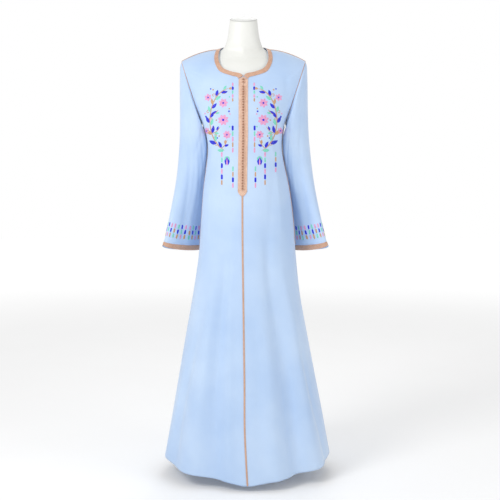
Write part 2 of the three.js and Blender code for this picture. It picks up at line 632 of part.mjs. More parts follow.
const knotSeat = BRAID_LIFT + BRAID + KNOT_LIFT;
for (let k = 0; k < KNOTS; k += 1) {
  const z = KNOT_TOP - k * KNOT_PITCH;
  const seat = onCentre(z, 0, knotSeat);
  const out = onCentre(z, 0, knotSeat + 1).sub(seat).normalize();
  const mesh = add(`knot_${String(k + 1).padStart(2, '0')}`, knot(), braidMaterial);
  mesh.position.copy(seat);
  mesh.quaternion.setFromUnitVectors(new THREE.Vector3(0, 1, 0), out);
}

// Dress form
function formRing(row, grow) {
  const ring = [];
  for (let k = 0; k < FORM_COLUMNS; k += 1) {
    const angle = (2 * Math.PI * k) / FORM_COLUMNS;
    const bend = (value) => Math.sign(value) * Math.abs(value) ** (2 / row.power);
    const x = (row.half + grow) * bend(Math.cos(angle));
    const depth = Math.sin(angle) < 0 ? row.ahead : row.behind;
    const y = (depth + grow) * bend(Math.sin(angle));
    ring.push(new THREE.Vector3(x, y, row.z + row.tilt * y));
  }
  return ring;
}

// A closed solid through rings with the same number of points, with flat ends.
function loft(rings) {
  const width = rings[0].length;
  const points = rings.flat();
  const faces = [];
  for (let i = 0; i < rings.length - 1; i += 1) {
    for (let k = 0; k < width; k += 1) {
      const a = i * width + k;
      const b = i * width + ((k + 1) % width);
      faces.push(a, b, b + width, a, b + width, a + width);
    }
  }
  for (const [ring, flip] of [[0, true], [rings.length - 1, false]]) {
    const middle = rings[ring].reduce((sum, p) => sum.add(p), new THREE.Vector3()).divideScalar(width);
    points.push(middle);
    for (let k = 0; k < width; k += 1) {
      const a = ring * width + k;
      const b = ring * width + ((k + 1) % width);
      faces.push(...(flip ? [b, a, points.length - 1] : [a, b, points.length - 1]));
    }
  }
  const geometry = new THREE.BufferGeometry();
  geometry.setAttribute('position', new THREE.Float32BufferAttribute(points.flatMap((p) => p.toArray()), 3));
  geometry.setIndex(faces);
  geometry.computeVertexNormals();
  return geometry;
}

const formTop = FORM.at(-1);
add('form_torso', loft(spread(FORM).map((row) => formRing(row, 0))), formMaterial);
const capRows = [SEAM_GAP, SEAM_GAP + CAP_THICKNESS].map((rise) => ({ ...formTop, z: formTop.z + rise }));
add('form_cap', loft([formRing(capRows[0], 0), formRing(capRows[1], -CAP_BEVEL)]), capMaterial);

const poleBottom = BASE_HEIGHT + SEAM_GAP;
const poleTop = FORM[0].z - SEAM_GAP;
const pole = new THREE.CylinderGeometry(POLE_RADIUS, POLE_RADIUS, poleTop - poleBottom, POLE_SIDES);
pole.rotateX(Math.PI / 2);
add('form_pole', pole, steelMaterial).position.z = (poleTop + poleBottom) / 2;

const baseProfile = [[0, 0], [1, 0], [1, 0.5], [0.965, 0.8], [0.2, 1], [0, 1]]; // the same shares
const basePoints = baseProfile.map(([r, h]) => new THREE.Vector2(r * BASE_RADIUS, h * BASE_HEIGHT));
const base = new THREE.LatheGeometry(basePoints, BASE_SIDES);
base.rotateX(Math.PI / 2);
add('form_base', base, steelMaterial);

export default kaftan;
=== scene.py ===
# A long pale blue kaftan worn by a limbless dress form on a round steel stand.
import math

import bmesh
import bpy
import numpy as np
from mathutils import Matrix, Vector
from mathutils.bvhtree import BVHTree


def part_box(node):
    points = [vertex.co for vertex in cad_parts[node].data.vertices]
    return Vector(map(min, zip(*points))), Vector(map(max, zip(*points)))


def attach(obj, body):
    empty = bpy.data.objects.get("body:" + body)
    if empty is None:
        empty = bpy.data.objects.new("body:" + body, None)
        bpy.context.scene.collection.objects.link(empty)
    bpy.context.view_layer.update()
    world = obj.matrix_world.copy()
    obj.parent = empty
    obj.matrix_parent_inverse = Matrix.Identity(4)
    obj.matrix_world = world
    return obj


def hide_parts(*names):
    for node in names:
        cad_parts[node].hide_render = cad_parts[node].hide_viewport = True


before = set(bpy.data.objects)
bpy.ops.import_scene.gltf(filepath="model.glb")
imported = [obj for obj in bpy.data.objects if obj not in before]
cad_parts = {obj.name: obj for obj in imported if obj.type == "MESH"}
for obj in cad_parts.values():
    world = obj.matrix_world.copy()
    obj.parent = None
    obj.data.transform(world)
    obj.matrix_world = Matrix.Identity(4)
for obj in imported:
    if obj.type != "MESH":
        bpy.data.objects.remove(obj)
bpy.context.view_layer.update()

# ---- View, floor and light ---------------------------------------------------------------------
# A plain white studio: a pale floor that runs into a white surround, one broad soft light in
# front and to the left, a weaker one to the right, and one behind to lift the shoulders.
VIEW_FROM = Vector((0.022, -3.2, 1.0))
VIEW_AT = Vector((0.022, 0, 0.775))
LENS = 66.96
SOFT_LIGHTS = [
    # name, place, size, power
    ("key", (-1.9, -2.1, 2.6), 1.3, 42),
    ("fill", (2.6, -1.8, 1.5), 1.8, 13),
    ("back", (0.3, 2.2, 2.7), 1.6, 16),
]
SURROUND_SEEN = 1.0
SURROUND_LIGHT = 0.62
FLOOR_SIZE = 14
FLOOR_TONES = ((0.94, 0.94, 0.94, 1), (0.97, 0.97, 0.97, 1))
# The floor glows a little more with distance, so that it runs into the surround with no edge.
FLOOR_GLOW = (0.10, 0.42)
GLOW_REACH = (1.0, 7.0)


def aim(thing, place, target):
    """Puts a camera or light at a place and turns it to a target."""
    thing.location = place
    thing.rotation_euler = (target - Vector(place)).to_track_quat("-Z", "Y").to_euler()


camera = bpy.data.objects.new("camera", bpy.data.cameras.new("camera"))
bpy.context.collection.objects.link(camera)
camera.data.lens = LENS
camera.data.sensor_width = 36
camera.data.clip_end = 60
aim(camera, VIEW_FROM, VIEW_AT)
bpy.context.scene.camera = camera

for light_name, place, size, power in SOFT_LIGHTS:
    lamp = bpy.data.lights.new(light_name, "AREA")
    lamp.shape = "DISK"
    lamp.size = size
    lamp.energy = power
    holder = bpy.data.objects.new(light_name, lamp)
    bpy.context.collection.objects.link(holder)
    aim(holder, place, Vector((0, 0, 0.85)))

surround = bpy.data.worlds.new("surround")
surround.use_nodes = True
surround_nodes, surround_links = surround.node_tree.nodes, surround.node_tree.links
surround_nodes["Background"].inputs["Color"].default_value = (1, 1, 1, 1)
seen = surround_nodes.new("ShaderNodeLightPath")
glow = surround_nodes.new("ShaderNodeMapRange")
glow.inputs["To Min"].default_value, glow.inputs["To Max"].default_value = SURROUND_LIGHT, SURROUND_SEEN
surround_links.new(seen.outputs["Is Camera Ray"], glow.inputs["Value"])
surround_links.new(glow.outputs["Result"], surround_nodes["Background"].inputs["Strength"])
bpy.context.scene.world = surround
bpy.context.scene.view_settings.view_transform = "Standard"


def new_object(name, mesh_build, material=None):
    """An object at the origin from a bmesh, which is freed."""
    mesh = bpy.data.meshes.new(name)
    mesh_build.to_mesh(mesh)
    mesh_build.free()
    thing = bpy.data.objects.new(name, mesh)
    bpy.context.collection.objects.link(thing)
    if material:
        mesh.materials.append(material)
    return thing


def new_material(name, roughness, **settings):
    """A Principled material with its own constant settings. Returns it with its nodes and links."""
    material = bpy.data.materials.new(name)
    material.use_nodes = True
    nodes, links = material.node_tree.nodes, material.node_tree.links
    skin = nodes["Principled BSDF"]
    skin.inputs["Roughness"].default_value = roughness
    for socket, value in settings.items():
        skin.inputs[socket.replace("_", " ")].default_value = value
    return material, nodes, links, skin


def add_node(nodes, kind, **values):
    """A new shader node with constants on its own sockets."""
    node = nodes.new("ShaderNode" + kind)
    for socket, value in values.items():
        node.inputs[socket.replace("_", " ")].default_value = value
    return node


floor_mesh = bmesh.new()
bmesh.ops.create_grid(floor_mesh, x_segments=1, y_segments=1, size=FLOOR_SIZE)
floor_paint, floor_nodes, floor_links, floor_skin = new_material("floor_paint", 0.9)
floor_grain = add_node(floor_nodes, "TexNoise", Scale=3)
floor_place = add_node(floor_nodes, "TexCoord")
floor_links.new(floor_place.outputs["Object"], floor_grain.inputs["Vector"])
floor_tone = add_node(floor_nodes, "ValToRGB")
for stop, colour in zip(floor_tone.color_ramp.elements, FLOOR_TONES):
    stop.color = colour
floor_links.new(floor_grain.outputs["Fac"], floor_tone.inputs["Fac"])
floor_links.new(floor_tone.outputs["Color"], floor_skin.inputs["Base Color"])
floor_reach = add_node(floor_nodes, "VectorMath")
floor_reach.operation = "LENGTH"
floor_glow = add_node(floor_nodes, "MapRange")
floor_glow.interpolation_type = "SMOOTHSTEP"
floor_glow.inputs["From Min"].default_value, floor_glow.inputs["From Max"].default_value = GLOW_REACH
floor_glow.inputs["To Min"].default_value, floor_glow.inputs["To Max"].default_value = FLOOR_GLOW
floor_skin.inputs["Emission Color"].default_value = (1, 1, 1, 1)
floor_links.new(floor_place.outputs["Object"], floor_reach.inputs[0])
floor_links.new(floor_reach.outputs["Value"], floor_glow.inputs["Value"])
floor_links.new(floor_glow.outputs["Result"], floor_skin.inputs["Emission Strength"])
floor = new_object("floor", floor_mesh, floor_paint)

# ---- Dress form --------------------------------------------------------------------------------
# A limbless torso moulded as one smooth shell with a satin off-white skin. The neck block is a
# second moulding pushed into it, which leaves a fine joint line round the base of the neck.
WELD = 1e-5
FORM_JOINT = 1.4235  # height of the joint line
FORM_JOINT_WIDTH = 0.0016
FORM_JOINT_DEPTH = 0.0009
FORM_SKIN = (0.86, 0.865, 0.83, 1)
FORM_SKIN_WARM = (0.80, 0.80, 0.755, 1)
# The neck's cap is the form's own off-white plastic, painted grey as painted shade on its top face.
CAP_SHADED_SKIN = (0.66, 0.665, 0.64, 1)
CAP_SHADED_SKIN_DEEP = (0.614, 0.618, 0.595, 1)
CAP_RIM = 0.0007  # radius of the rounded rim of the neck's cap
SHARP = 50  # an edge that turns by more than this many degrees stays sharp


def merged_copy(node):
    """A node's triangles as a bmesh whose corners are merged."""
    copy = bmesh.new()
    copy.from_mesh(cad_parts[node].data)
    for layer in list(copy.loops.layers.uv):
        copy.loops.layers.uv.remove(layer)
    bmesh.ops.remove_doubles(copy, verts=copy.verts, dist=WELD)
    for face in copy.faces:
        face.smooth = True
    return copy


def squared(mesh_build):
    """Joins the triangles of a bmesh into its four-sided facets."""
    bmesh.ops.join_triangles(mesh_build, faces=mesh_build.faces, angle_face_threshold=math.pi,
                             angle_shape_threshold=math.pi)


def crease_over(mesh_build, degrees):
    """Keeps the edges that turn by more than an angle sharp when the mesh is subdivided."""
    layer = mesh_build.edges.layers.float.get("crease_edge")
    if layer is None:
        layer = mesh_build.edges.layers.float.new("crease_edge")
    for edge in mesh_build.edges:
        if len(edge.link_faces) == 2 and edge.calc_face_angle(0) > math.radians(degrees):
            edge[layer] = 1


def subdivided(mesh_build, levels):
    """A smoothly subdivided copy of a bmesh, as a bmesh. The first one is freed."""
    work = new_object("work", mesh_build)
    smoother = work.modifiers.new("smooth", "SUBSURF")
    smoother.levels = smoother.render_levels = levels
    smoother.boundary_smooth = "PRESERVE_CORNERS"
    mesh = bpy.data.meshes.new_from_object(work.evaluated_get(bpy.context.evaluated_depsgraph_get()))
    bpy.data.objects.remove(work)
    fine = bmesh.new()
    fine.from_mesh(mesh)
    bpy.data.meshes.remove(mesh)
    for face in fine.faces:
        face.smooth = True
    return fine


def new_group(name, inputs, outputs):
    """An empty node group with its named sockets. Returns it with its nodes, its links and both ends."""
    group = bpy.data.node_groups.new(name, "ShaderNodeTree")
    for sockets, way in ((inputs, "INPUT"), (outputs, "OUTPUT")):
        for label, kind in sockets.items():
            group.interface.new_socket(label, in_out=way, socket_type="NodeSocket" + kind)
    given = group.nodes.new("NodeGroupInput").outputs
    gives = group.nodes.new("NodeGroupOutput").inputs
    return group, group.nodes, group.links, given, gives


def placed(nodes, group, **values):
    """The outputs of a node group placed in a material, with the material's own values."""
    node = nodes.new("ShaderNodeGroup")
    node.node_tree = group
    for socket, value in values.items():
        node.inputs[socket].default_value = value
    return node.outputs


def between(nodes, links, mask, low, high, spot):
    """A colour that goes from one socket's to another's between two values of a mask."""
    share = add_node(nodes, "MapRange", From_Min=spot[0], From_Max=spot[1])
    links.new(mask, share.inputs["Value"])
    blend = nodes.new("ShaderNodeMix")
    blend.data_type = "RGBA"
    factor, first, second = (socket for socket in blend.inputs if socket.enabled)
    for source, socket in ((share.outputs["Result"], factor), (low, first), (high, second)):
        links.new(source, socket)
    return next(socket for socket in blend.outputs if socket.enabled)


def drift_group():
    """A colour that drifts between two tones over the surface, with its mask."""
    group, nodes, links, given, gives = new_group(
        "drift", {"Scale": "Float", "Low": "Color", "High": "Color"}, {"Colour": "Color", "Mask": "Float"})
    place = add_node(nodes, "TexCoord")
    cloud = add_node(nodes, "TexNoise", Detail=3)
    links.new(place.outputs["Object"], cloud.inputs["Vector"])
    links.new(given["Scale"], cloud.inputs["Scale"])
    links.new(between(nodes, links, cloud.outputs["Fac"], given["Low"], given["High"], (0.35, 0.65)),
              gives["Colour"])
    links.new(cloud.outputs["Fac"], gives["Mask"])
    return group


def peel_group():
    """The fine orange peel of moulded plastic, as a mask."""
    group, nodes, links, _, gives = new_group("orange_peel", {}, {"Mask": "Float"})
    place = add_node(nodes, "TexCoord")
    peel = add_node(nodes, "TexNoise", Scale=260, Detail=2)
    links.new(place.outputs["Object"], peel.inputs["Vector"])
    links.new(peel.outputs["Fac"], gives["Mask"])
    return group


def glossed(nodes, links, skin, mask, low, high):
    """Gives a material a roughness that goes from low to high with a mask."""
    gloss = add_node(nodes, "MapRange", To_Min=low, To_Max=high)
    links.new(mask, gloss.inputs["Value"])
    links.new(gloss.outputs["Result"], skin.inputs["Roughness"])


def bumped(nodes, links, skin, height, strength, distance):
    """Gives a material a bump from a mask."""
    bump = add_node(nodes, "Bump", Strength=strength, Distance=distance)
    links.new(height, bump.inputs["Height"])
    links.new(bump.outputs["Normal"], skin.inputs["Normal"])


def moulded_skin(name, low, high):
    """Satin moulded plastic: a faint drift of tone, an orange-peel bump and uneven gloss."""
    material, nodes, links, skin = new_material(name, 0.42, Coat_Weight=0.12, Coat_Roughness=0.35)
    tone = placed(nodes, drift, Scale=4, Low=low, High=high)
    peel = placed(nodes, orange_peel)
    links.new(tone["Colour"], skin.inputs["Base Color"])
    glossed(nodes, links, skin, peel["Mask"], 0.36, 0.5)
    bumped(nodes, links, skin, peel["Mask"], 0.12, 0.0004)
    return material


drift = drift_group()
orange_peel = peel_group()
form_skin = moulded_skin("form_satin", FORM_SKIN_WARM, FORM_SKIN)
# The cap's grey is painted shade on the same plastic as the form.
cap_shaded_skin = moulded_skin("form_cap_shaded_satin", CAP_SHADED_SKIN_DEEP, CAP_SHADED_SKIN)

torso = merged_copy("form_torso")
squared(torso)
crease_over(torso, SHARP)
torso = subdivided(torso, 3)
half_joint = FORM_JOINT_WIDTH / 2
for height in (FORM_JOINT - half_joint, FORM_JOINT, FORM_JOINT + half_joint):
    bmesh.ops.bisect_plane(torso, geom=torso.verts[:] + torso.edges[:] + torso.faces[:],
                           dist=1e-6, plane_co=(0, 0, height), plane_no=(0, 0, 1))
torso.normal_update()
for vert in torso.verts:
    if abs(vert.co.z - FORM_JOINT) < 1e-5:
        vert.co -= FORM_JOINT_DEPTH * vert.normal
form_shell = new_object("form_shell", torso, form_skin)

cap = merged_copy("form_cap")
squared(cap)
top_rim = [edge for edge in cap.edges if edge.calc_face_angle(0) > math.radians(SHARP)]
bmesh.ops.bevel(cap, geom=top_rim, offset=CAP_RIM, segments=3, profile=0.5, affect="EDGES", material=-1)
form_cap_disc = new_object("form_cap_disc", cap, cap_shaded_skin)
for piece, node in ((form_shell, "form_torso"), (form_cap_disc, "form_cap")):
    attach(piece, "root")
    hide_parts(node)

# ---- Stand -------------------------------------------------------------------------------------
# A satin steel tube that plugs into the torso, screwed down to a heavy turned steel disc. The
# disc has a rounded rim and a low collar round the tube.
POLE_RADIUS = 0.0125
BASE_PROFILE = [(0, 0), (0.1385, 0), (0.14, 0.0015), (0.14, 0.0055), (0.1385, 0.0078), (0.135, 0.0092),
                (0.06, 0.0110), (0.028, 0.0118), (0, 0.012)]
COLLAR_PROFILE = [(0.0129, 0.0122), (0.022, 0.0122), (0.0225, 0.0135), (0.0215, 0.024), (0.0195, 0.0265),
                  (0.0129, 0.0268)]
STEEL_DEEP = (0.50, 0.51, 0.53, 1)
STEEL_LIGHT = (0.60, 0.61, 0.63, 1)
POLE_FOOT, POLE_HEAD = (corner[2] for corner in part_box("form_pole"))


def spun(profile, steps=72, closed=False):
    """A profile of (radius, height) points turned round the vertical axis."""
    lathed = bmesh.new()
    points = [lathed.verts.new((r, 0, z)) for r, z in profile]
    edges = [lathed.edges.new(pair) for pair in zip(points, points[1:])]
    if closed:
        edges.append(lathed.edges.new((points[-1], points[0])))
    bmesh.ops.spin(lathed, geom=points + edges, cent=(0, 0, 0), axis=(0, 0, 1), angle=2 * math.pi,
                   steps=steps, use_merge=True)
    bmesh.ops.remove_doubles(lathed, verts=lathed.verts, dist=WELD)
    bmesh.ops.recalc_face_normals(lathed, faces=lathed.faces)
    for face in lathed.faces:
        face.smooth = True
    return lathed


steel, steel_nodes, steel_links, steel_skin = new_material("satin_steel", 0.32, Metallic=1)
steel_tone = placed(steel_nodes, drift, Scale=30, Low=STEEL_DEEP, High=STEEL_LIGHT)
steel_links.new(steel_tone["Colour"], steel_skin.inputs["Base Color"])
steel_place = add_node(steel_nodes, "TexCoord")
brushing = add_node(steel_nodes, "TexNoise", Scale=60)
stretch = add_node(steel_nodes, "Mapping", Scale=(1, 1, 14))
steel_links.new(steel_place.outputs["Object"], stretch.inputs["Vector"])
steel_links.new(stretch.outputs["Vector"], brushing.inputs["Vector"])
glossed(steel_nodes, steel_links, steel_skin, brushing.outputs["Fac"], 0.26, 0.42)

pole = bmesh.new()
bmesh.ops.create_cone(pole, cap_ends=True, cap_tris=False, segments=48, radius1=POLE_RADIUS,
                      radius2=POLE_RADIUS, depth=POLE_HEAD - POLE_FOOT,
                      matrix=Matrix.Translation((0, 0, (POLE_HEAD + POLE_FOOT) / 2)))
for face in pole.faces:
    face.smooth = len(face.verts) == 4
stand_pole = new_object("stand_pole", pole, steel)
stand_base = new_object("stand_base", spun(BASE_PROFILE), steel)
stand_collar = new_object("stand_collar", spun(COLLAR_PROFILE, closed=True), steel)
for piece in (stand_pole, stand_base, stand_collar):
    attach(piece, "root")
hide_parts("form_pole")
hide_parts("form_base")

# ---- Front and back panels ---------------------------------------------------------------------
# Smooth light blue crepe with a soft sheen, cut as two flared fronts and one flared back and sewn
# at the shoulders and sides. It hangs from the shoulders in long soft folds.
RIM = 0.0023  # an edge shorter than this runs through the wall, from its outer to its inner face
PANEL_ACROSS = 73
PANEL_UP = 221
PROBE = (PANEL_UP // 3, -20)  # a point of the grid that faces well outwards
CLOTH_THICK = 0.0011
CLOTH_LIGHT = (0.555, 0.705, 0.925, 1)
CLOTH_DEEP = (0.465, 0.625, 0.880, 1)
THREAD = 0.00055  # spacing of the cloth's threads
WAVE_BAND = 0.31416  # scale of a wave texture whose bands are 1 m apart
# Creases of each panel, in metres: height and way round the hem of both ends, half-width and
# depth. The way round is measured from the centre line, and a depth above 0 is a ridge.
FRONT_CREASES = {
    -1: [
        ((0.02, 0.130), (0.86, 0.050), 0.026, -0.0115),
        ((0.02, 0.070), (0.70, 0.032), 0.024, 0.0050),
        ((0.03, 0.210), (0.74, 0.092), 0.028, 0.0075),
        ((0.05, 0.295), (0.60, 0.150), 0.022, -0.0065),
        ((0.06, 0.365), (0.42, 0.235), 0.020, 0.0030),
        ((0.62, 0.070), (1.04, 0.088), 0.016, -0.0022),
        ((0.76, 0.128), (1.09, 0.112), 0.014, 0.0020),
        ((1.13, 0.125), (1.24, 0.080), 0.011, -0.0022),
        ((1.10, 0.118), (1.20, 0.060), 0.009, 0.0014),
        ((1.30, 0.150), (1.40, 0.130), 0.012, -0.0018),
        ((1.36, 0.165), (1.42, 0.120), 0.010, 0.0012),
    ],
    1: [
        ((0.02, 0.185), (0.92, 0.070), 0.026, -0.0110),
        ((0.02, 0.110), (0.66, 0.045), 0.026, 0.0055),
        ((0.03, 0.265), (0.80, 0.120), 0.026, 0.0080),
        ((0.05, 0.335), (0.52, 0.190), 0.020, -0.0055),
        ((0.08, 0.050), (0.46, 0.030), 0.020, -0.0018),
        ((0.66, 0.090), (1.06, 0.100), 0.016, -0.0024),
        ((0.80, 0.140), (1.10, 0.118), 0.013, 0.0022),
        ((1.12, 0.128), (1.25, 0.092), 0.011, -0.0026),
        ((1.09, 0.120), (1.18, 0.070), 0.009, 0.0015),
        ((1.29, 0.155), (1.41, 0.135), 0.012, -0.0020),
        ((1.35, 0.170), (1.42, 0.140), 0.010, 0.0014),
    ],
}
BACK_CREASES = [
    ((0.03, -0.060), (0.98, -0.025), 0.027, -0.0105),
    ((0.03, 0.055), (0.84, 0.030), 0.028, 0.0060),
    ((0.03, -0.170), (0.76, -0.080), 0.028, 0.0070),
    ((0.04, 0.170), (0.90, 0.075), 0.026, -0.0100),
    ((0.05, -0.270), (0.68, -0.140), 0.024, -0.0065),
    ((0.05, 0.265), (0.72, 0.140), 0.024, 0.0070),
    ((0.06, -0.350), (0.46, -0.230), 0.020, 0.0032),
    ((0.06, 0.345), (0.52, 0.215), 0.020, -0.0035),
    ((0.90, -0.060), (1.16, -0.085), 0.018, -0.0026),
    ((0.92, 0.070), (1.20, 0.090), 0.018, -0.0024),
    ((1.06, -0.100), (1.30, -0.110), 0.014, 0.0018),
    ((1.04, 0.105), (1.28, 0.112), 0.014, 0.0020),
    ((1.33, -0.150), (1.42, -0.110), 0.012, -0.0016),
    ((1.32, 0.150), (1.42, 0.115), 0.012, -0.0018),
    ((1.40, -0.050), (1.40, 0.055), 0.013, -0.0012),
]
HEM_TURN = 0.022  # height of the turned-up hem, whose edge shows as a faint step
HEM_STEP = 0.0004
HEM_EDGE = 0.003  # the step's own width
# Creases fade out over these distances to the side seam, the centre front and the upper edge.
SIDE_FADE = 0.05
CENTRE_FADE = (0.017, 0.057)
TOP_FADE = 0.03
SHARP_TURN = math.radians(50)  # an open edge that turns by more than this has a corner there


def new_build():
    """An empty bmesh with its UV map."""
    build = bmesh.new()
    return build, build.loops.layers.uv.new("UVMap")


def outer_sheet(node):
    """The outer face of a node's wall, as a bmesh of triangles."""
    sheet = merged_copy(node)
    rim = [face for face in sheet.faces if min(edge.calc_length() for edge in face.edges) < RIM]
    bmesh.ops.delete(sheet, geom=rim, context="FACES")
    loose = [edge for edge in sheet.edges if not edge.link_faces]
    bmesh.ops.delete(sheet, geom=loose, context="EDGES")
    groups, seen = [], set()
    for seed in sheet.faces:
        if seed in seen:
            continue
        group, todo = [], [seed]
        seen.add(seed)
        while todo:
            face = todo.pop()
            group.append(face)
            for neighbour in {other for edge in face.edges for other in edge.link_faces} - seen:
                seen.add(neighbour)
                todo.append(neighbour)
        groups.append(group)
    groups.sort(key=lambda group: sum(face.calc_area() for face in group))
    bmesh.ops.delete(sheet, geom=[face for group in groups[:-1] for face in group], context="FACES")
    return sheet


def edge_run(start, step):
    """The corners along a sheet's open edge, from start by way of step until the edge turns sharply."""
    run = [start, step]
    while True:
        back, here = run[-2], run[-1]
        onward = next(edge.other_vert(here) for edge in here.link_edges
                      if edge.is_boundary and edge.other_vert(here) is not back)
        if onward is start or (here.co - back.co).angle(onward.co - here.co) > SHARP_TURN:
            return run
        run.append(onward)


def ring_from(start, step):
    """The corners round a sheet's open edge, from start by way of step."""
    ring, here = [start], step
    while here is not start:
        ring.append(here)
        here = next(other for edge in here.link_edges if edge.is_boundary
                    and (other := edge.other_vert(here)) is not ring[-2]
                    and (other is start or other not in ring))
    return ring


def walk(first, used=(), side=0):
    """Rows of a regular sheet's corners from its first row on, or only those on one side of the middle."""
    rows, used = [first], set(first) | set(used)
    while True:
        ahead = {edge.other_vert(vert) for vert in rows[-1] for edge in vert.link_edges} - used
        ahead = {vert for vert in ahead if vert.co.x * side >= 0}
        if len(ahead) != len(first):
            return rows
        linked = [edge for edge in rows[-1][0].link_edges if edge.other_vert(rows[-1][0]) in ahead]
        best = min(linked, key=lambda edge: (not edge.is_boundary, edge.calc_length()))
        row = [best.other_vert(rows[-1][0])]
        used |= ahead
        ahead.discard(row[0])
        while ahead:
            near = [other for edge in row[-1].link_edges if (other := edge.other_vert(row[-1])) in ahead]
            if len(row) == 1:
                near.sort(key=lambda vert: (vert.co - rows[-1][1].co).length)
            row.append(near[0])
            ahead.discard(near[0])
        rows.append(row)


def places_of(rows):
    """The places of rows of corners, as an array."""
    return np.array([[vert.co[:] for vert in row] for row in rows])


def panel_halves(node):
    """A panel's corners in rows from hem to shoulder, each from the centre line to the side seam.

    A front is one such array and the back is two, which share their centre up to the nape.
    """
    sheet = outer_sheet(node)
    lean = -2 if node == "front_left" else 2
    start = min(sheet.verts, key=lambda vert: vert.co.z + lean * vert.co.x)
    step = min((edge for edge in start.link_edges if edge.is_boundary),
               key=lambda edge: abs(edge.other_vert(start).co.z - start.co.z) / edge.calc_length())
    rows = walk(edge_run(start, step.other_vert(start)))
    halves = [rows]
    if node == "back":
        centre, used = len(rows[0]) // 2, {vert for row in rows for vert in row}
        left, right = [row[centre::-1] for row in rows], [row[centre:] for row in rows]
        halves = [left + walk(left[-1], used, -1)[1:], right + walk(right[-1], used, 1)[1:]]
    halves = [places_of(half) for half in halves]
    sheet.free()
    return halves, len(rows) - 1


def eased(points, places, closed=False, before=None):
    """Points at fractional places along the first axis of an array, on a smooth curve through it."""
    count = len(points)
    if before is None:
        before = 2 * points[:1] - points[1:2]
    if closed:
        padded = np.concatenate([points[-1:], points, points[:2]])
    else:
        padded = np.concatenate([before, points, 2 * points[-1:] - points[-2:-1]])
    low = np.clip(np.floor(places).astype(int), 0, count - (1 if closed else 2))
    share = (places - low).reshape((-1,) + (1,) * (points.ndim - 1))
    a, b, c, d = (padded[low + k] for k in range(4))
    return b + 0.5 * share * (c - a + share * (2 * a - 5 * b + 4 * c - d + share * (3 * (b - c) + d - a)))


def even_places(line, count, closed=False):
    """Fractional places that lie at even distances along a line of points."""
    if closed:
        line = np.concatenate([line, line[:1]])
    run = np.concatenate([[0], np.cumsum(np.linalg.norm(np.diff(line, axis=0), axis=1))])
    return np.interp(np.linspace(0, run[-1], count), run, np.arange(len(line)))


def lengths(grid, axis):
    """The distance along the cloth to each point of a grid, from the grid's first edge."""
    steps = np.linalg.norm(np.diff(grid, axis=axis), axis=2)
    return np.insert(np.cumsum(steps, axis=axis), 0, 0, axis=axis)


def normals_of(grid, closed=False):
    """Unit normals of a grid of points: the run along its rows crossed with the run up them."""
    if closed:
        wide = np.concatenate([grid[:, -2:-1], grid, grid[:, 1:2]], axis=1)
        along = wide[:, 2:] - wide[:, :-2]
    else:
        along = np.gradient(grid, axis=1)
    out = np.cross(along, np.gradient(grid, axis=0))
    return out / np.maximum(np.linalg.norm(out, axis=2, keepdims=True), 1e-12)


def crease_lift(height, around, creases):
    """How far creases move each point of the cloth out, from its height and its way round."""
    lift = np.zeros_like(height)
    for (z0, s0), (z1, s1), half, depth in creases:
        run = math.hypot(z1 - z0, s1 - s0)
        dz, ds = (z1 - z0) / run, (s1 - s0) / run
        along = ((height - z0) * dz + (around - s0) * ds) / run
        bow = 0.25 * half * np.sin(math.pi * 1.7 * along + 40 * s0)
        off = (height - z0) * -ds + (around - s0) * dz - bow
        width = half * (1.15 - 0.45 * np.clip(along, 0, 1))
        tip = np.clip((along + 0.12) / 0.3, 0, 1) * np.clip((1.1 - along) / 0.55, 0, 1)
        lift += depth * tip * tip * (3 - 2 * tip) * np.exp(-(off / width) ** 2)
    return lift


def grid_piece(name, grid, uv, material, closed=False, flip=False):
    """An object from a grid of points, with the grid's own UV map."""
    count_up, count_along = grid.shape[:2]
    build = bmesh.new()
    bmesh.ops.create_grid(build, x_segments=count_along - 1, y_segments=count_up - 1, size=1,
                          calc_uvs=False)
    build.verts.ensure_lookup_table()
    layer = build.loops.layers.uv.new("UVMap")
    places = [(round((vert.co.y + 1) / 2 * (count_up - 1)), round((vert.co.x + 1) / 2 * (count_along - 1)))
              for vert in build.verts]
    for face in build.faces:
        face.smooth = True
        for loop in face.loops:
            loop[layer].uv = uv[places[loop.vert.index]]
    for vert, place in zip(build.verts, places):
        vert.co = grid[place]
    if closed:
        bmesh.ops.remove_doubles(build, verts=build.verts, dist=1e-6)
    if flip:
        bmesh.ops.reverse_faces(build, faces=build.faces)
    return new_object(name, build, material)


def add_grid(build, layer, grid, uv, slot_index=0):
    """Adds a grid of points to a bmesh as smooth faces that carry the grid's own UV."""
    verts = [[build.verts.new(point) for point in row] for row in grid]
    for r, c in np.ndindex(grid.shape[0] - 1, grid.shape[1] - 1):
        corners = ((r, c), (r, c + 1), (r + 1, c + 1), (r + 1, c))
        face = build.faces.new([verts[a][b] for a, b in corners])
        face.smooth = True
        face.material_index = slot_index
        for loop, place in zip(face.loops, corners):
            loop[layer].uv = uv[place]


def crepe(name, light, deep):
    """Crepe in two close tones, with crossed threads in its bump and a soft uneven sheen."""
    material, nodes, links, skin = new_material(name, 0.62, Sheen_Weight=0.5, Sheen_Roughness=0.4,
                                                Specular_IOR_Level=0.35)
    skin.inputs["Sheen Tint"].default_value = (0.96, 0.98, 1, 1)
    tone = placed(nodes, drift, Scale=5, Low=deep, High=light)
    links.new(tone["Colour"], skin.inputs["Base Color"])
    strands = nodes.new("ShaderNodeUVMap")
    strands.uv_map = "UVMap"
    weave = add_node(nodes, "Math")
    weave.operation = "MULTIPLY"
    for k, (turn, size) in enumerate(((0, 1), (math.pi / 2, 1.12))):
        across = add_node(nodes, "Mapping", Rotation=(0, 0, turn))
        threads = add_node(nodes, "TexWave", Scale=WAVE_BAND / THREAD / size, Distortion=1.6, Detail=1,
                           Detail_Scale=2.4)
        links.new(strands.outputs["UV"], across.inputs["Vector"])
        links.new(across.outputs["Vector"], threads.inputs["Vector"])
        links.new(threads.outputs["Fac"], weave.inputs[k])
    glossed(nodes, links, skin, tone["Mask"], 0.54, 0.70)
    bumped(nodes, links, skin, weave.outputs["Value"], 0.35, 0.00012)
    return material


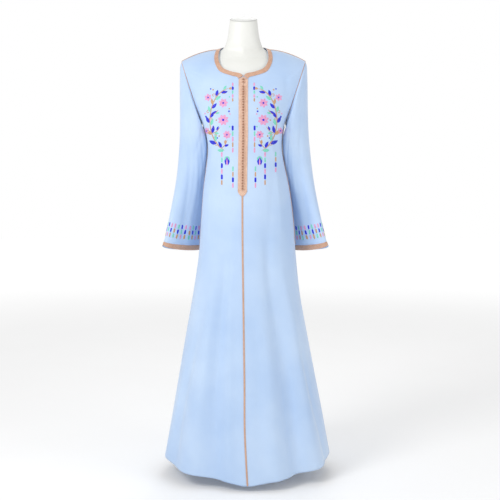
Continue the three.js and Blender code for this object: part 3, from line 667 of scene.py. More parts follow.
def cloth_wall(piece, thick=CLOTH_THICK):
    """Gives a sheet of cloth its thickness, inwards from the side that shows."""
    shell = piece.modifiers.new("thickness", "SOLIDIFY")
    shell.thickness = thick
    shell.offset = -1


blue_crepe = crepe("blue_crepe", CLOTH_LIGHT, CLOTH_DEEP)
panels = {}


def panel(node, side, creases):
    """One panel: fine cloth through the node's corners, with its creases and its turned-up hem."""
    halves, nape = panel_halves(node)
    rows = even_places(halves[0][:, halves[0].shape[1] // 2], PANEL_UP)
    tall = [eased(half, rows) for half in halves]
    below = rows <= nape
    grids, outs = [], []
    for number, half in enumerate(tall):
        before = 2 * half[:, 0] - half[:, 1]
        if node == "back":
            before = np.where(below[:, None], tall[1 - number][:, 1], before)
        columns = np.linspace(0, half.shape[1] - 1, PANEL_ACROSS)
        grid = np.swapaxes(eased(np.swapaxes(half, 0, 1), columns, before=before[None]), 0, 1)
        out = normals_of(grid)
        if np.sum(out[PROBE] * grid[PROBE] * (1, 1, 0)) < 0:
            out = -out
        grids.append(grid)
        outs.append(out)
    if node == "back":
        shared = (outs[0][below, 0] + outs[1][below, 0]) / 2
        outs[0][below, 0] = outs[1][below, 0] = shared / np.linalg.norm(shared, axis=1, keepdims=True)
    build, layer = new_build()
    for grid, out, hand in zip(grids, outs, (-1, 1) if node == "back" else (1,)):
        around, rise = hand * lengths(grid, 1), lengths(grid, 0)
        lift = crease_lift(grid[:, :, 2], around, creases)
        calm = np.clip(np.abs(around - around[:, -1, None]) / SIDE_FADE, 0, 1)
        if node != "back":
            calm *= np.clip((np.abs(around) - CENTRE_FADE[0]) / (CENTRE_FADE[1] - CENTRE_FADE[0]), 0, 1)
        calm *= np.clip((rise[-1] - rise) / TOP_FADE, 0, 1)
        step = HEM_STEP * (1 - np.clip((rise - HEM_TURN) / HEM_EDGE, 0, 1))
        grid += out * (lift * calm * calm * (3 - 2 * calm) - HEM_STEP + step)[:, :, None]
        uv = np.stack([side * around, rise], axis=2)
        turn = 1 if np.sum(normals_of(grid)[PROBE] * out[PROBE]) > 0 else -1
        add_grid(build, layer, grid[:, ::turn], uv[:, ::turn])
    bmesh.ops.remove_doubles(build, verts=build.verts, dist=1e-6)
    piece = new_object(node + "_cloth", build, blue_crepe)
    panels[node] = grids[0]
    cloth_wall(piece)
    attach(piece, "root")
    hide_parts(node)
    return piece


front_left_cloth = panel("front_left", -1, FRONT_CREASES[-1])
front_right_cloth = panel("front_right", 1, FRONT_CREASES[1])
back_cloth = panel("back", 1, BACK_CREASES)

# ---- Sleeves -----------------------------------------------------------------------------------
# Long bell sleeves of the same crepe, each one tube with a seam along its inner side, set into the
# armhole and hanging just clear of the body.
SLEEVE_ACROSS = 97
SLEEVE_UP = 131
# Creases of the sleeves: height and share of the way round of both ends, from the shoulder by the
# front, then half-width and depth in metres. The cloth is 0.42 m round on average.
SLEEVE_GIRTH = 0.42
# Creases fade out over these distances to the armhole, the cuff and the line from the shoulder.
ARMHOLE_FADE = 0.06
CUFF_FADE = 0.03
SEAM_FADE = 0.02
SLEEVE_CREASES = {
    -1: [
        ((0.80, 0.16), (1.28, 0.12), 0.013, -0.0026),
        ((0.79, 0.24), (1.16, 0.22), 0.014, 0.0028),
        ((0.79, 0.33), (1.20, 0.34), 0.013, -0.0030),
        ((1.02, 0.28), (1.18, 0.44), 0.010, 0.0016),
        ((1.10, 0.20), (1.20, 0.40), 0.009, -0.0018),
        ((0.79, 0.62), (1.22, 0.60), 0.014, -0.0032),
        ((0.80, 0.72), (1.10, 0.74), 0.013, 0.0026),
        ((0.80, 0.83), (1.30, 0.86), 0.014, -0.0026),
        ((1.08, 0.58), (1.18, 0.76), 0.010, -0.0018),
        ((1.22, 0.18), (1.36, 0.10), 0.010, -0.0014),
    ],
    1: [
        ((0.80, 0.14), (1.30, 0.11), 0.013, -0.0024),
        ((0.79, 0.22), (1.14, 0.21), 0.015, 0.0030),
        ((0.79, 0.31), (1.24, 0.33), 0.013, -0.0032),
        ((1.00, 0.26), (1.15, 0.42), 0.010, 0.0015),
        ((1.12, 0.18), (1.21, 0.38), 0.009, -0.0020),
        ((0.79, 0.60), (1.20, 0.62), 0.014, -0.0030),
        ((0.80, 0.70), (1.08, 0.71), 0.013, 0.0030),
        ((0.80, 0.82), (1.28, 0.84), 0.014, -0.0028),
        ((1.06, 0.60), (1.17, 0.78), 0.010, -0.0016),
        ((1.24, 0.17), (1.37, 0.11), 0.010, -0.0015),
    ],
}
sleeves = {}


def sleeve_rows(node):
    """A sleeve's corners in rings from armhole to cuff, each from the shoulder round by the front."""
    sheet = outer_sheet(node)
    top = max((vert for vert in sheet.verts if vert.is_boundary), key=lambda vert: vert.co.z)
    forward = min((edge.other_vert(top) for edge in top.link_edges if edge.is_boundary),
                  key=lambda vert: vert.co.y)
    rows = places_of(walk(ring_from(top, forward)))
    sheet.free()
    return rows


def set_in_sleeve(name, side):
    """One sleeve: fine cloth through the node's rings, with its creases and its turned-up cuff."""
    node = "sleeve_" + name
    rows = sleeve_rows(node)
    front = rows[:, rows.shape[1] // 4]
    grid = eased(rows, even_places(front, SLEEVE_UP))
    ring = np.swapaxes(grid, 0, 1)
    places = even_places(rows[rows.shape[0] // 2], SLEEVE_ACROSS, closed=True)
    grid = np.swapaxes(eased(ring, places, closed=True), 0, 1)
    around, rise = lengths(grid, 1), lengths(grid, 0)
    out = normals_of(grid, closed=True)
    centre = grid[:, :-1].mean(axis=1, keepdims=True)
    if np.sum(out * (grid - centre)) < 0:
        out = -out
    turn = SLEEVE_GIRTH * around / around[:, -1:]
    creases = [((z0, SLEEVE_GIRTH * s0), (z1, SLEEVE_GIRTH * s1), half, depth)
               for (z0, s0), (z1, s1), half, depth in SLEEVE_CREASES[side]]
    calm = np.clip(rise / ARMHOLE_FADE, 0, 1) * np.clip((rise[-1] - rise) / CUFF_FADE, 0, 1)
    calm = calm * np.clip(np.minimum(around, around[:, -1:] - around) / SEAM_FADE, 0, 1)
    hem = HEM_STEP * (1 - np.clip((rise[-1] - rise - HEM_TURN) / HEM_EDGE, 0, 1))
    grid = grid + out * (crease_lift(grid[:, :, 2], turn, creases) * calm - HEM_STEP + hem)[:, :, None]
    flip = np.sum(normals_of(grid, closed=True) * out) < 0
    piece = grid_piece(node + "_cloth", grid, np.stack([around, rise], axis=2), blue_crepe, closed=True,
                       flip=flip)
    sleeves[name] = {"grid": grid, "out": out, "around": around, "rise": rise}
    cloth_wall(piece)
    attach(piece, "root")
    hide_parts(node)
    return piece


sleeve_left_cloth = set_in_sleeve("left", -1)
sleeve_right_cloth = set_in_sleeve("right", 1)

# ---- Braids ------------------------------------------------------------------------------------
# Flat copper-coloured silk braids, worked as close cords side by side and sewn over the neck edge,
# both sides of the front opening, the centre seam and the cuffs. Two strips meet in a sewn tip.
# The darker tone of each braid silk is painted shade in the dips of its plait, mixed with a random drift of
# tone.
BRAID_COPPER = (0.430, 0.215, 0.135, 1)
BRAID_PALE = (0.760, 0.480, 0.345, 1)
STRIP_COPPER = (0.540, 0.290, 0.195, 1)
STRIP_PALE = (0.880, 0.620, 0.475, 1)
BRAID_BODY = 0.0009  # thickness between the cords
CORD_RISE = 0.0005  # how far a cord stands above that
CORD_WIDTH = 0.0019
BRAID_SEAT = 0.0001  # gap between braid and cloth
BRAID_STEP = 0.0024  # length of one facet along a braid
PLAIT = 0.0032  # length of one turn of the plait
PLAIT_SLANT = math.radians(38)
TIP_RISE = 0.0006  # how far the sewn tip stands above the strips
CENTRE_NARROW = 0.75  # the centre cord draws in to this share of its flat width


def tree_of(*pieces):
    """A search tree of the outer sheets of cloth pieces."""
    verts, faces = [], []
    for piece in pieces:
        faces += [[v + len(verts) for v in polygon.vertices] for polygon in piece.data.polygons]
        verts += [vert.co.copy() for vert in piece.data.vertices]
    return BVHTree.FromPolygons(verts, faces)


def braid_rows(node, wide):
    """A braid's corners in rows across it, from one end to the other. wide is how many lie in a row."""
    sheet = outer_sheet(node)
    start = min((vert for vert in sheet.verts if len(vert.link_edges) == 2), key=lambda vert: vert.co.z)
    beside = [edge.other_vert(start) for edge in start.link_edges]
    if wide == 2:
        row = [start, min(beside, key=lambda vert: len(vert.link_edges))]
    else:
        row = [start, min(beside, key=lambda vert: abs(vert.co.z - start.co.z) / (vert.co - start.co).length)]
    while len(row) < wide:
        row.append(next(other for edge in row[-1].link_edges if edge.is_boundary
                        and (other := edge.other_vert(row[-1])) is not row[-2]))
    rows = walk(row)
    beyond = set(sheet.verts) - {vert for row in rows for vert in row}
    rows = places_of(rows)
    if len(beyond) == 1:
        # At the nape a neck braid's outer edge has one corner more than its inner edge.
        inner, outer = sorted((0, 1), key=lambda k: abs(rows[-1, k, 0]))
        added = np.stack([rows[-1], rows[-1]])
        added[0, inner] = (rows[-2, inner] + rows[-1, inner]) / 2
        added[1, outer] = beyond.pop().co
        rows = np.concatenate([rows[:-1], added])
    sheet.free()
    return rows


def summed(nodes, links, first, share, second):
    """A share of one value plus another value."""
    total = nodes.new("ShaderNodeMath")
    total.operation = "MULTIPLY_ADD"
    total.inputs[1].default_value = share
    links.new(first, total.inputs[0])
    links.new(second, total.inputs[2])
    return total.outputs["Value"]


def plait_group():
    """Threads that slant both ways along a braid, with painted shade in the dips between them and a random
    drift of tone, and their height.
    """
    group, nodes, links, given, gives = new_group(
        "plait", {"Scale": "Float", "Low": "Color", "High": "Color"}, {"Colour": "Color", "Height": "Float"})
    strands = nodes.new("ShaderNodeUVMap")
    strands.uv_map = "UVMap"
    over = add_node(nodes, "Math")
    over.operation = "MAXIMUM"
    for k, lean in enumerate((1, -1)):
        slanted = add_node(nodes, "Mapping", Rotation=(0, 0, lean * PLAIT_SLANT))
        threads = add_node(nodes, "TexWave", Distortion=0.6)
        threads.bands_direction = "Y"
        links.new(given["Scale"], threads.inputs["Scale"])
        links.new(strands.outputs["UV"], slanted.inputs["Vector"])
        links.new(slanted.outputs["Vector"], threads.inputs["Vector"])
        links.new(threads.outputs["Fac"], over.inputs[k])
    place = add_node(nodes, "TexCoord")
    cloud = add_node(nodes, "TexNoise", Scale=90)
    links.new(place.outputs["Object"], cloud.inputs["Vector"])
    part = nodes.new("ShaderNodeMath")
    part.operation = "MULTIPLY"
    part.inputs[1].default_value = 0.5
    links.new(cloud.outputs["Fac"], part.inputs[0])
    mixed = summed(nodes, links, over.outputs["Value"], 0.65, part.outputs["Value"])
    # Painted shade: the colour darkens in the dips between the threads.
    links.new(between(nodes, links, mixed, given["Low"], given["High"], (0.3, 0.9)), gives["Colour"])
    links.new(over.outputs["Value"], gives["Height"])
    return group


def braid_skin(name, low, high, turn):
    """Plaited silk with a soft warm sheen. turn is the length of one turn of its plait."""
    material, nodes, links, skin = new_material(name, 0.5, Sheen_Weight=0.3, Sheen_Roughness=0.3,
                                                Specular_IOR_Level=0.4)
    skin.inputs["Sheen Tint"].default_value = (1, 0.86, 0.76, 1)
    silk = placed(nodes, plait, Scale=WAVE_BAND / turn, Low=low, High=high)
    links.new(silk["Colour"], skin.inputs["Base Color"])
    bumped(nodes, links, skin, silk["Height"], 0.6, 0.0003)
    return material


plait = plait_group()
copper_braid = braid_skin("copper_braid", BRAID_COPPER, BRAID_PALE, PLAIT)
strip_braid = braid_skin("strip_braid", STRIP_COPPER, STRIP_PALE, PLAIT)
front_tree = tree_of(front_left_cloth, front_right_cloth)
body_tree = tree_of(front_left_cloth, front_right_cloth, back_cloth)


def lay_braid(name, rows, tree, nodes, closed=False, rise=0.0, silk=copper_braid):
    """A braid of close cords through rows of corners, laid on the cloth that a tree holds."""
    middle = rows.mean(axis=1)
    length = np.sum(np.linalg.norm(np.diff(middle, axis=0), axis=1))
    width = np.median(np.linalg.norm(rows[:, -1] - rows[:, 0], axis=1))
    along = max(8, int(length / BRAID_STEP)) + 1
    cords = max(2, round(width / CORD_WIDTH))
    across = 4 * cords + 1
    grid = eased(rows, even_places(middle, along))
    grid = np.swapaxes(eased(np.swapaxes(grid, 0, 1), np.linspace(0, rows.shape[1] - 1, across)), 0, 1)
    out = np.zeros_like(grid)
    for place in np.ndindex(grid.shape[:2]):
        near, facing, _, _ = tree.find_nearest(Vector(grid[place]))
        grid[place], out[place] = near, facing
    for _ in range(3):
        out[1:-1] = (out[:-2] + 2 * out[1:-1] + out[2:]) / 4
        out[:, 1:-1] = (out[:, :-2] + 2 * out[:, 1:-1] + out[:, 2:]) / 4
    out /= np.linalg.norm(out, axis=2, keepdims=True)
    share = np.linspace(0, 1, across)
    cord = np.abs(np.sin(math.pi * cords * share)) ** 0.8
    height = BRAID_SEAT + rise + BRAID_BODY + CORD_RISE * cord
    grid = grid + out * height[None, :, None]
    uv = np.stack([lengths(grid, 1), lengths(grid, 0)], axis=2)
    flip = np.sum(normals_of(grid) * out) < 0
    piece = grid_piece(name, grid, uv, silk, closed=closed, flip=flip)
    cloth_wall(piece, BRAID_BODY)
    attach(piece, "root")
    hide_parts(*nodes)
    return piece


for name in ("left", "right"):
    lay_braid("neck_edge_" + name, braid_rows("neck_braid_" + name, 2), body_tree,
              ["neck_braid_" + name])
    lay_braid("placket_strip_" + name, braid_rows("placket_braid_" + name, 2), front_tree,
              ["placket_braid_" + name], silk=strip_braid)
centre_rows = braid_rows("centre_braid", 3)
centre_rows = centre_rows[:, 1:2] + CENTRE_NARROW * (centre_rows - centre_rows[:, 1:2])
lay_braid("centre_cord", centre_rows, front_tree, ["centre_braid"])
tip_low, tip_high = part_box("placket_tip")
tip_middle = (tip_low[0] + tip_high[0]) / 2
# The tip's outline: share of its height from the foot, and half-width there.
TIP_SHAPE = [(0.0, 0.0026), (0.12, 0.0062), (0.3, 0.0095), (0.5, 0.0124), (0.75, 0.0144), (1.0, 0.0152)]
tip_rows = np.array([[(tip_middle + side * half, tip_low[1], tip_low[2] + rise * (tip_high[2] - tip_low[2]))
                      for side in (-1, 0, 1)] for rise, half in TIP_SHAPE])
lay_braid("sewn_tip", tip_rows, front_tree, ["placket_tip"], rise=TIP_RISE, silk=strip_braid)

for name in ("left", "right"):
    sheet = outer_sheet("cuff_braid_" + name)
    rim = [edge for edge in sheet.edges if edge.is_boundary]
    lowest = min((vert for edge in rim for vert in edge.verts), key=lambda vert: vert.co.z)
    onward = next(edge.other_vert(lowest) for edge in lowest.link_edges if edge.is_boundary)
    rows = np.swapaxes(places_of(walk(ring_from(lowest, onward))), 0, 1)
    sheet.free()
    cloth = sleeve_left_cloth if name == "left" else sleeve_right_cloth
    lay_braid("cuff_edge_" + name, np.concatenate([rows, rows[:1]]), tree_of(cloth),
              ["cuff_braid_" + name], closed=True)

# ---- Knots and loops ---------------------------------------------------------------------------
# A close row of small worked silk buttons down the opening. Each is a knotted ball on a short shank
# from the left braid, buttoned through a loop of round cord from the right braid.
# The balls' silk is painted much darker than the loops' silk: painted shade of the gaps between the loops.
KNOT_SHADED_COPPER = (0.300, 0.130, 0.075, 1)
KNOT_SHADED_PALE = (0.520, 0.270, 0.175, 1)
LOOP_COPPER = (0.620, 0.360, 0.250, 1)
LOOP_PALE = (0.860, 0.610, 0.470, 1)
BALL_HALF = (0.0029, 0.0023, 0.0023)  # half sizes across, out and up
BALL_RIDGE = 0.00022
BALL_SEAT = 0.8  # height of a ball's centre above the braids, as a share of its half size
LOOP_RADIUS = 0.0007
LOOP_SEAT = 0.75  # height of a loop's centre above the braids, as a share of its radius
KNOT_PLAIT = 0.0016
# The loop's route from the right braid round the ball and back, across and up from its centre.
LOOP_ROUTE = [(0.0088, 0.0012), (0.0058, 0.0019), (0.0026, 0.0033), (-0.0006, 0.0036), (-0.0033, 0.0022),
              (-0.0040, 0.0), (-0.0033, -0.0022), (-0.0006, -0.0036), (0.0026, -0.0033),
              (0.0058, -0.0019), (0.0088, -0.0012)]
SHANK_ROUTE = [(-0.0085, 0.0), (-0.0060, 0.0004), (-0.0035, 0.0), (-0.0015, 0.0)]
SEWN_SEAT = BRAID_SEAT + BRAID_BODY + CORD_RISE  # top of the braids above the cloth
# The balls' silk is a darker copy of the loops' silk, with painted shade.
shaded_knot_silk = braid_skin("shaded_knot_silk", KNOT_SHADED_COPPER, KNOT_SHADED_PALE, KNOT_PLAIT)
loop_silk = braid_skin("loop_silk", LOOP_COPPER, LOOP_PALE, KNOT_PLAIT)


def round_cord(path, out, radius, sides=8, ring=False):
    """The grid and the UV of a round cord along a path, whose ends close. out points off the cloth."""
    if ring:
        ahead = np.roll(path[:-1], -1, axis=0) - np.roll(path[:-1], 1, axis=0)
        ahead = np.concatenate([ahead, ahead[:1]])
    else:
        path = np.concatenate([path[:1], path, path[-1:]])
        out = np.concatenate([out[:1], out, out[-1:]])
        ahead = np.gradient(path, axis=0)
        ahead[0], ahead[-1] = ahead[1], ahead[-2]
    ahead = ahead / np.linalg.norm(ahead, axis=1, keepdims=True)
    beside = np.cross(ahead, out)
    beside /= np.linalg.norm(beside, axis=1, keepdims=True)
    above = np.cross(beside, ahead)
    thick = np.full(len(path), radius)
    if not ring:
        thick[[0, -1]] = 0
    turn = np.linspace(0, 2 * math.pi, sides + 1)[None, :, None]
    grid = path[:, None] + thick[:, None, None] * (
        np.cos(turn) * beside[:, None] + np.sin(turn) * above[:, None])
    run = np.insert(np.cumsum(np.linalg.norm(np.diff(path, axis=0), axis=1)), 0, 0)
    across = np.broadcast_to(2 * math.pi * radius * np.linspace(0, 1, sides + 1), grid.shape[:2])
    return grid, np.stack([across, np.broadcast_to(run[:, None], grid.shape[:2])], axis=2)


def finish_grids(name, build, materials):
    """An object from added grids, whose seams and pinched ends are merged and which faces outwards."""
    bmesh.ops.recalc_face_normals(build, faces=build.faces)
    bmesh.ops.remove_doubles(build, verts=build.verts, dist=2e-6)
    bmesh.ops.dissolve_degenerate(build, edges=build.edges, dist=1e-6)
    piece = new_object(name, build)
    for material in materials:
        piece.data.materials.append(material)
    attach(piece, "root")
    return piece


def on_front(x, z):
    """The point of the fronts' cloth at a place seen from the front, and its normal."""
    point, normal, _, _ = front_tree.ray_cast(Vector((x, -1, z)), Vector((0, 1, 0)))
    if point is None:
        point, normal, _, _ = front_tree.find_nearest(Vector((x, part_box("placket_tip")[0][1], z)))
    return np.array(point), np.array(normal if normal.y < 0 else -normal)


knots, knots_uv = new_build()
knot_nodes = sorted(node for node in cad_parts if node.startswith("knot_"))
for node in knot_nodes:
    low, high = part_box(node)
    knot_x, knot_z = (low[0] + high[0]) / 2, (low[2] + high[2]) / 2
    seat, facing = on_front(knot_x, knot_z)
    upward = np.cross(facing, (-1, 0, 0))
    upward /= np.linalg.norm(upward)
    middle = seat + (SEWN_SEAT + BALL_SEAT * BALL_HALF[1]) * facing
    tilt, lap = np.meshgrid(np.linspace(0, math.pi, 9), np.linspace(0, 2 * math.pi, 15), indexing="ij")
    ridge = 1 + BALL_RIDGE / BALL_HALF[0] * np.sin(3 * lap + 4 * tilt)
    ball = (middle + BALL_HALF[0] * (ridge * np.sin(tilt) * np.cos(lap))[:, :, None] * (1, 0, 0)
            + BALL_HALF[1] * (ridge * np.sin(tilt) * np.sin(lap))[:, :, None] * facing
            + BALL_HALF[2] * np.cos(tilt)[:, :, None] * upward)
    add_grid(knots, knots_uv, ball, np.stack([lap, tilt], axis=2) * BALL_HALF[0])
    for route in (LOOP_ROUTE, SHANK_ROUTE):
        line = eased(np.array(route), np.linspace(0, len(route) - 1, 2 * len(route) - 1))
        path = middle + line[:, :1] * (1, 0, 0) + line[:, 1:] * upward
        path -= (BALL_SEAT * BALL_HALF[1] - LOOP_SEAT * LOOP_RADIUS) * facing
        cord, cord_uv = round_cord(path, np.broadcast_to(facing, path.shape), LOOP_RADIUS, sides=5)
        add_grid(knots, knots_uv, cord, cord_uv, 1)
worked_knots = finish_grids("worked_knots", knots, [shaded_knot_silk, loop_silk])
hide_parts(*knot_nodes)

# ---- Piping ------------------------------------------------------------------------------------
# A thin copper silk cord caught in the shoulder, armhole and side seams, a little over half of it
# standing proud of the cloth.
PIPING_RADIUS = 0.0011
PIPING_SUNK = 0.35  # share of the radius that sits in the seam
PIPING_STEP = 0.004
PIPING_FOOT = 0.79  # height at which the piping of a side seam ends
PIPING_PLAIT = 0.0018
piping_silk = braid_skin("piping_silk", BRAID_COPPER, BRAID_PALE, PIPING_PLAIT)


def cloth_facing(points, tree, outward):
    """Unit normals of the nearest cloth at points, on the side that outward points to."""
    facing = np.array([tree.find_nearest(Vector(point))[1][:] for point in points])
    facing *= np.where(np.sum(facing * outward, axis=1, keepdims=True) < 0, -1, 1)
    for _ in range(4):
        facing[1:-1] = (facing[:-2] + 2 * facing[1:-1] + facing[2:]) / 4
    return facing / np.linalg.norm(facing, axis=1, keepdims=True)


piping, piping_uv = new_build()
for side, name in ((-1, "left"), (1, "right")):
    front = panels["front_" + name]
    armhole = sleeves[name]["grid"][0]
    armpit = int(np.argmin(np.linalg.norm(front[:, -1] - armhole[SLEEVE_ACROSS // 2], axis=1)))
    hip = int(np.argmax(front[:, -1, 2] > PIPING_FOOT))
    seams = {"side": front[hip:armpit, -1], "shoulder": front[-1], "armhole": armhole}
    for seam, line in seams.items():
        ring = seam == "armhole"
        length = np.sum(np.linalg.norm(np.diff(line, axis=0), axis=1))
        line = eased(line, even_places(line, int(length / PIPING_STEP)))
        outward = {"side": (side, 0, 0), "shoulder": (0, 0, 1), "armhole": (side, 0, 0.4)}[seam]
        facing = cloth_facing(line, body_tree, outward)
        if seam != "shoulder":
            facing = facing + np.array(outward)
            facing /= np.linalg.norm(facing, axis=1, keepdims=True)
        path = line + facing * PIPING_RADIUS * (1 - PIPING_SUNK)
        if ring:
            path[-1] = path[0]
        cord, cord_uv = round_cord(path, facing, PIPING_RADIUS, ring=ring)
        add_grid(piping, piping_uv, cord, cord_uv)
seam_piping = finish_grids("seam_piping", piping, [piping_silk])

# ---- Chest embroidery --------------------------------------------------------------------------
# Padded satin stitch in silk: a mirrored spray of plain pointed leaves, round daisies, curled
# tendrils and berries on a curved stem, on each side of the opening.
THREAD_COLOURS = {
    # name: shade, light
    "blue": ((0.006, 0.008, 0.360, 1), (0.020, 0.030, 0.780, 1)),
    "pink": ((0.640, 0.220, 0.430, 1), (0.860, 0.410, 0.660, 1)),
    "mint": ((0.120, 0.520, 0.400, 1), (0.260, 0.760, 0.600, 1)),
    "tan": ((0.420, 0.200, 0.090, 1), (0.680, 0.400, 0.220, 1)),
}
STITCH = 0.00045  # width of one thread
STITCH_RISE = 0.0007
STITCH_SEAT = 0.00005
STEM_HALF = 0.0017  # half-widths of the main stem, the side sprigs and the tendrils
SPRIG_HALF = 0.0012
TENDRIL_HALF = 0.0011
STEM_RISE = 0.0005
TENDRIL_RISE = 0.0004
DISC_RISE = 0.0015
BERRY_RISE = 0.0009
DISC_SHARE = 0.24  # radius of a daisy's disc, as a share of its petals' length
PETAL_FOOT = 0.0022  # from a daisy's centre to where its petals start
LEAF_LEAN = math.radians(48)  # between a stem and its leaves
LEAF, PETAL, BAR, STEM_LINE = range(4)
MAIN_STEM = [(0.060, 1.112), (0.082, 1.128), (0.102, 1.160), (0.111, 1.203), (0.106, 1.250),
             (0.088, 1.290), (0.062, 1.312), (0.044, 1.316)]
# Leaves on the main stem: share of its length, side, length, half-width and colour.
STEM_LEAVES = [
    (0.03, -1, 0.024, 0.0056, "mint"), (0.07, 1, 0.024, 0.0052, "blue"), (0.16, -1, 0.030, 0.0062, "blue"),
    (0.20, 1, 0.024, 0.0052, "mint"), (0.29, -1, 0.026, 0.0054, "tan"), (0.32, 1, 0.026, 0.0056, "blue"),
    (0.41, 1, 0.024, 0.0050, "mint"), (0.45, -1, 0.025, 0.0056, "blue"), (0.52, 1, 0.023, 0.0052, "blue"),
    (0.58, -1, 0.022, 0.0050, "mint"), (0.64, 1, 0.024, 0.0054, "blue"), (0.68, -1, 0.020, 0.0046, "tan"),
    (0.75, 1, 0.023, 0.0050, "mint"), (0.80, -1, 0.022, 0.0052, "blue"), (0.87, 1, 0.023, 0.0050, "blue"),
    (0.93, -1, 0.018, 0.0042, "mint"), (1.00, 0, 0.013, 0.0040, "tan"),
]
# Side sprigs: foot, middle and tip, then the leaves on them as on the main stem.
SPRIGS = [
    ([(0.104, 1.170), (0.088, 1.176), (0.076, 1.190)],
     [(0.25, 1, 0.016, 0.0040, "mint"), (0.55, -1, 0.016, 0.0038, "blue")]),
    ([(0.109, 1.232), (0.094, 1.234), (0.082, 1.246)],
     [(0.30, -1, 0.016, 0.0040, "blue"), (0.55, 1, 0.015, 0.0036, "mint")]),
    ([(0.072, 1.120), (0.060, 1.132), (0.053, 1.148)],
     [(0.35, 1, 0.016, 0.0040, "blue"), (0.55, -1, 0.015, 0.0036, "tan")]),
]
# Daisies: centre, petals, length and half-width of a petal.
DAISIES = [((0.066, 1.212), 8, 0.0165, 0.0046), ((0.066, 1.268), 7, 0.0135, 0.0042),
           ((0.054, 1.164), 7, 0.0115, 0.0038), ((0.117, 1.288), 6, 0.0105, 0.0036),
           ((0.124, 1.180), 6, 0.0090, 0.0032)]
# Tendrils: start, heading in degrees, length, and turns to the left or right.
TENDRILS = [((0.111, 1.205), 60, 0.034, 0.85), ((0.092, 1.286), 100, 0.032, -0.9),
            ((0.084, 1.130), 0, 0.034, 0.9), ((0.101, 1.158), 190, 0.028, -0.8),
            ((0.060, 1.312), 250, 0.028, 0.85), ((0.109, 1.245), 20, 0.026, -0.8)]
# Berries: centre, radius and colour.
BERRIES = [
    ((0.047, 1.240), 0.0029, "blue"), ((0.046, 1.249), 0.0024, "tan"), ((0.044, 1.231), 0.0024, "pink"),
    ((0.125, 1.226), 0.0028, "blue"), ((0.128, 1.236), 0.0023, "pink"), ((0.080, 1.160), 0.0026, "tan"),
    ((0.086, 1.154), 0.0023, "blue"), ((0.045, 1.190), 0.0026, "mint"), ((0.100, 1.313), 0.0026, "tan"),
    ((0.108, 1.316), 0.0023, "blue"), ((0.046, 1.288), 0.0024, "mint"), ((0.089, 1.212), 0.0024, "tan"),
]
BUD = (0.054, 1.094)  # a plain bud at the foot of the spray, which heads down
BUD_PETALS = [(-20, 0.030, 0.0056, "blue"), (20, 0.030, 0.0056, "blue"), (0, 0.032, 0.0048, "pink"),
              (-52, 0.019, 0.0042, "mint"), (52, 0.019, 0.0042, "mint")]


def floss_group():
    """Silk floss laid in close parallel stitches, with painted shade between the stitches, a little random
    drift of its tone, and its height.
    """
    group, nodes, links, given, gives = new_group(
        "floss", {"Shade": "Color", "Light": "Color"}, {"Colour": "Color", "Height": "Float"})
    strands = nodes.new("ShaderNodeUVMap")
    strands.uv_map = "UVMap"
    lines = add_node(nodes, "TexWave", Scale=WAVE_BAND / STITCH, Distortion=1.2, Detail=1)
    links.new(strands.outputs["UV"], lines.inputs["Vector"])
    place = add_node(nodes, "TexCoord")
    cloud = add_node(nodes, "TexNoise", Scale=220)
    links.new(place.outputs["Object"], cloud.inputs["Vector"])
    mixed = summed(nodes, links, lines.outputs["Fac"], 0.45, cloud.outputs["Fac"])
    # Painted shade: the colour darkens between the stitch lines, mixed with a random drift of tone.
    links.new(between(nodes, links, mixed, given["Shade"], given["Light"], (0.3, 0.85)), gives["Colour"])
    links.new(lines.outputs["Fac"], gives["Height"])
    return group


def thread(name, shade, light):
    """Silk floss of one colour, with a soft gloss along its threads."""
    material, nodes, links, skin = new_material("thread_" + name, 0.45, Sheen_Weight=0.06,
                                                Sheen_Roughness=0.35, Specular_IOR_Level=0.35)
    silk = placed(nodes, floss, Shade=shade, Light=light)
    links.new(silk["Colour"], skin.inputs["Base Color"])
    glossed(nodes, links, skin, silk["Height"], 0.48, 0.32)
    bumped(nodes, links, skin, silk["Height"], 0.6, 0.00015)
    return material


floss = floss_group()
threads = [thread(name, *tones) for name, tones in THREAD_COLOURS.items()]
colour_places = {name: k for k, name in enumerate(THREAD_COLOURS)}


def stitched(build, layer, spine, half, colour, place, shape, points=9, rise=STITCH_RISE):
    """Adds one satin-stitched shape to a bmesh, along a spine of flat (across, up) places.

    place gives the cloth's point and normal at such a place, and half is the widest half-width.
    """
    spine = np.array(spine, dtype=float)
    spine = eased(spine, even_places(spine, points))
    share = np.linspace(0, 1, points)
    ahead = np.gradient(spine, axis=0)
    ahead /= np.linalg.norm(ahead, axis=1, keepdims=True)
    beside = np.stack([-ahead[:, 1], ahead[:, 0]], axis=1)
    widths = half * {LEAF: np.sin(math.pi * share ** 0.8) ** 0.85,
                     PETAL: np.sin(math.pi * (0.1 + 0.9 * share) ** 1.3) ** 0.7,
                     BAR: (1 - np.abs(2 * share - 1) ** 6) ** 0.5,
                     STEM_LINE: np.minimum(1, 8 * np.minimum(share, 1 - share) + 0.15)}[shape]
    across = np.array([-1, -0.55, 0, 0.55, 1])
    flat = spine[:, None] + (widths[:, None] * across)[:, :, None] * beside[:, None]
    height = STITCH_SEAT + rise * np.sqrt(1 - across[None] ** 2) * np.sqrt(widths / half)[:, None]
    grid = np.zeros(flat.shape[:2] + (3,))
    for spot in np.ndindex(flat.shape[:2]):
        point, normal = place(*flat[spot])
        grid[spot] = point + height[spot] * normal
    run = np.insert(np.cumsum(np.linalg.norm(np.diff(spine, axis=0), axis=1)), 0, 0)
    uv = np.stack([np.broadcast_to(run[:, None], flat.shape[:2]), widths[:, None] * across], axis=2)
    add_grid(build, layer, grid, uv, colour_places[colour])


def turned(heading, length, bend=0.0, points=5):
    """A flat line of a length from a heading in radians that bends evenly by an angle."""
    steps = heading + bend * np.linspace(0, 1, points)
    return np.stack([np.insert(np.cumsum(wave(steps[1:])), 0, 0) * length / (points - 1)
                     for wave in (np.cos, np.sin)], axis=1)


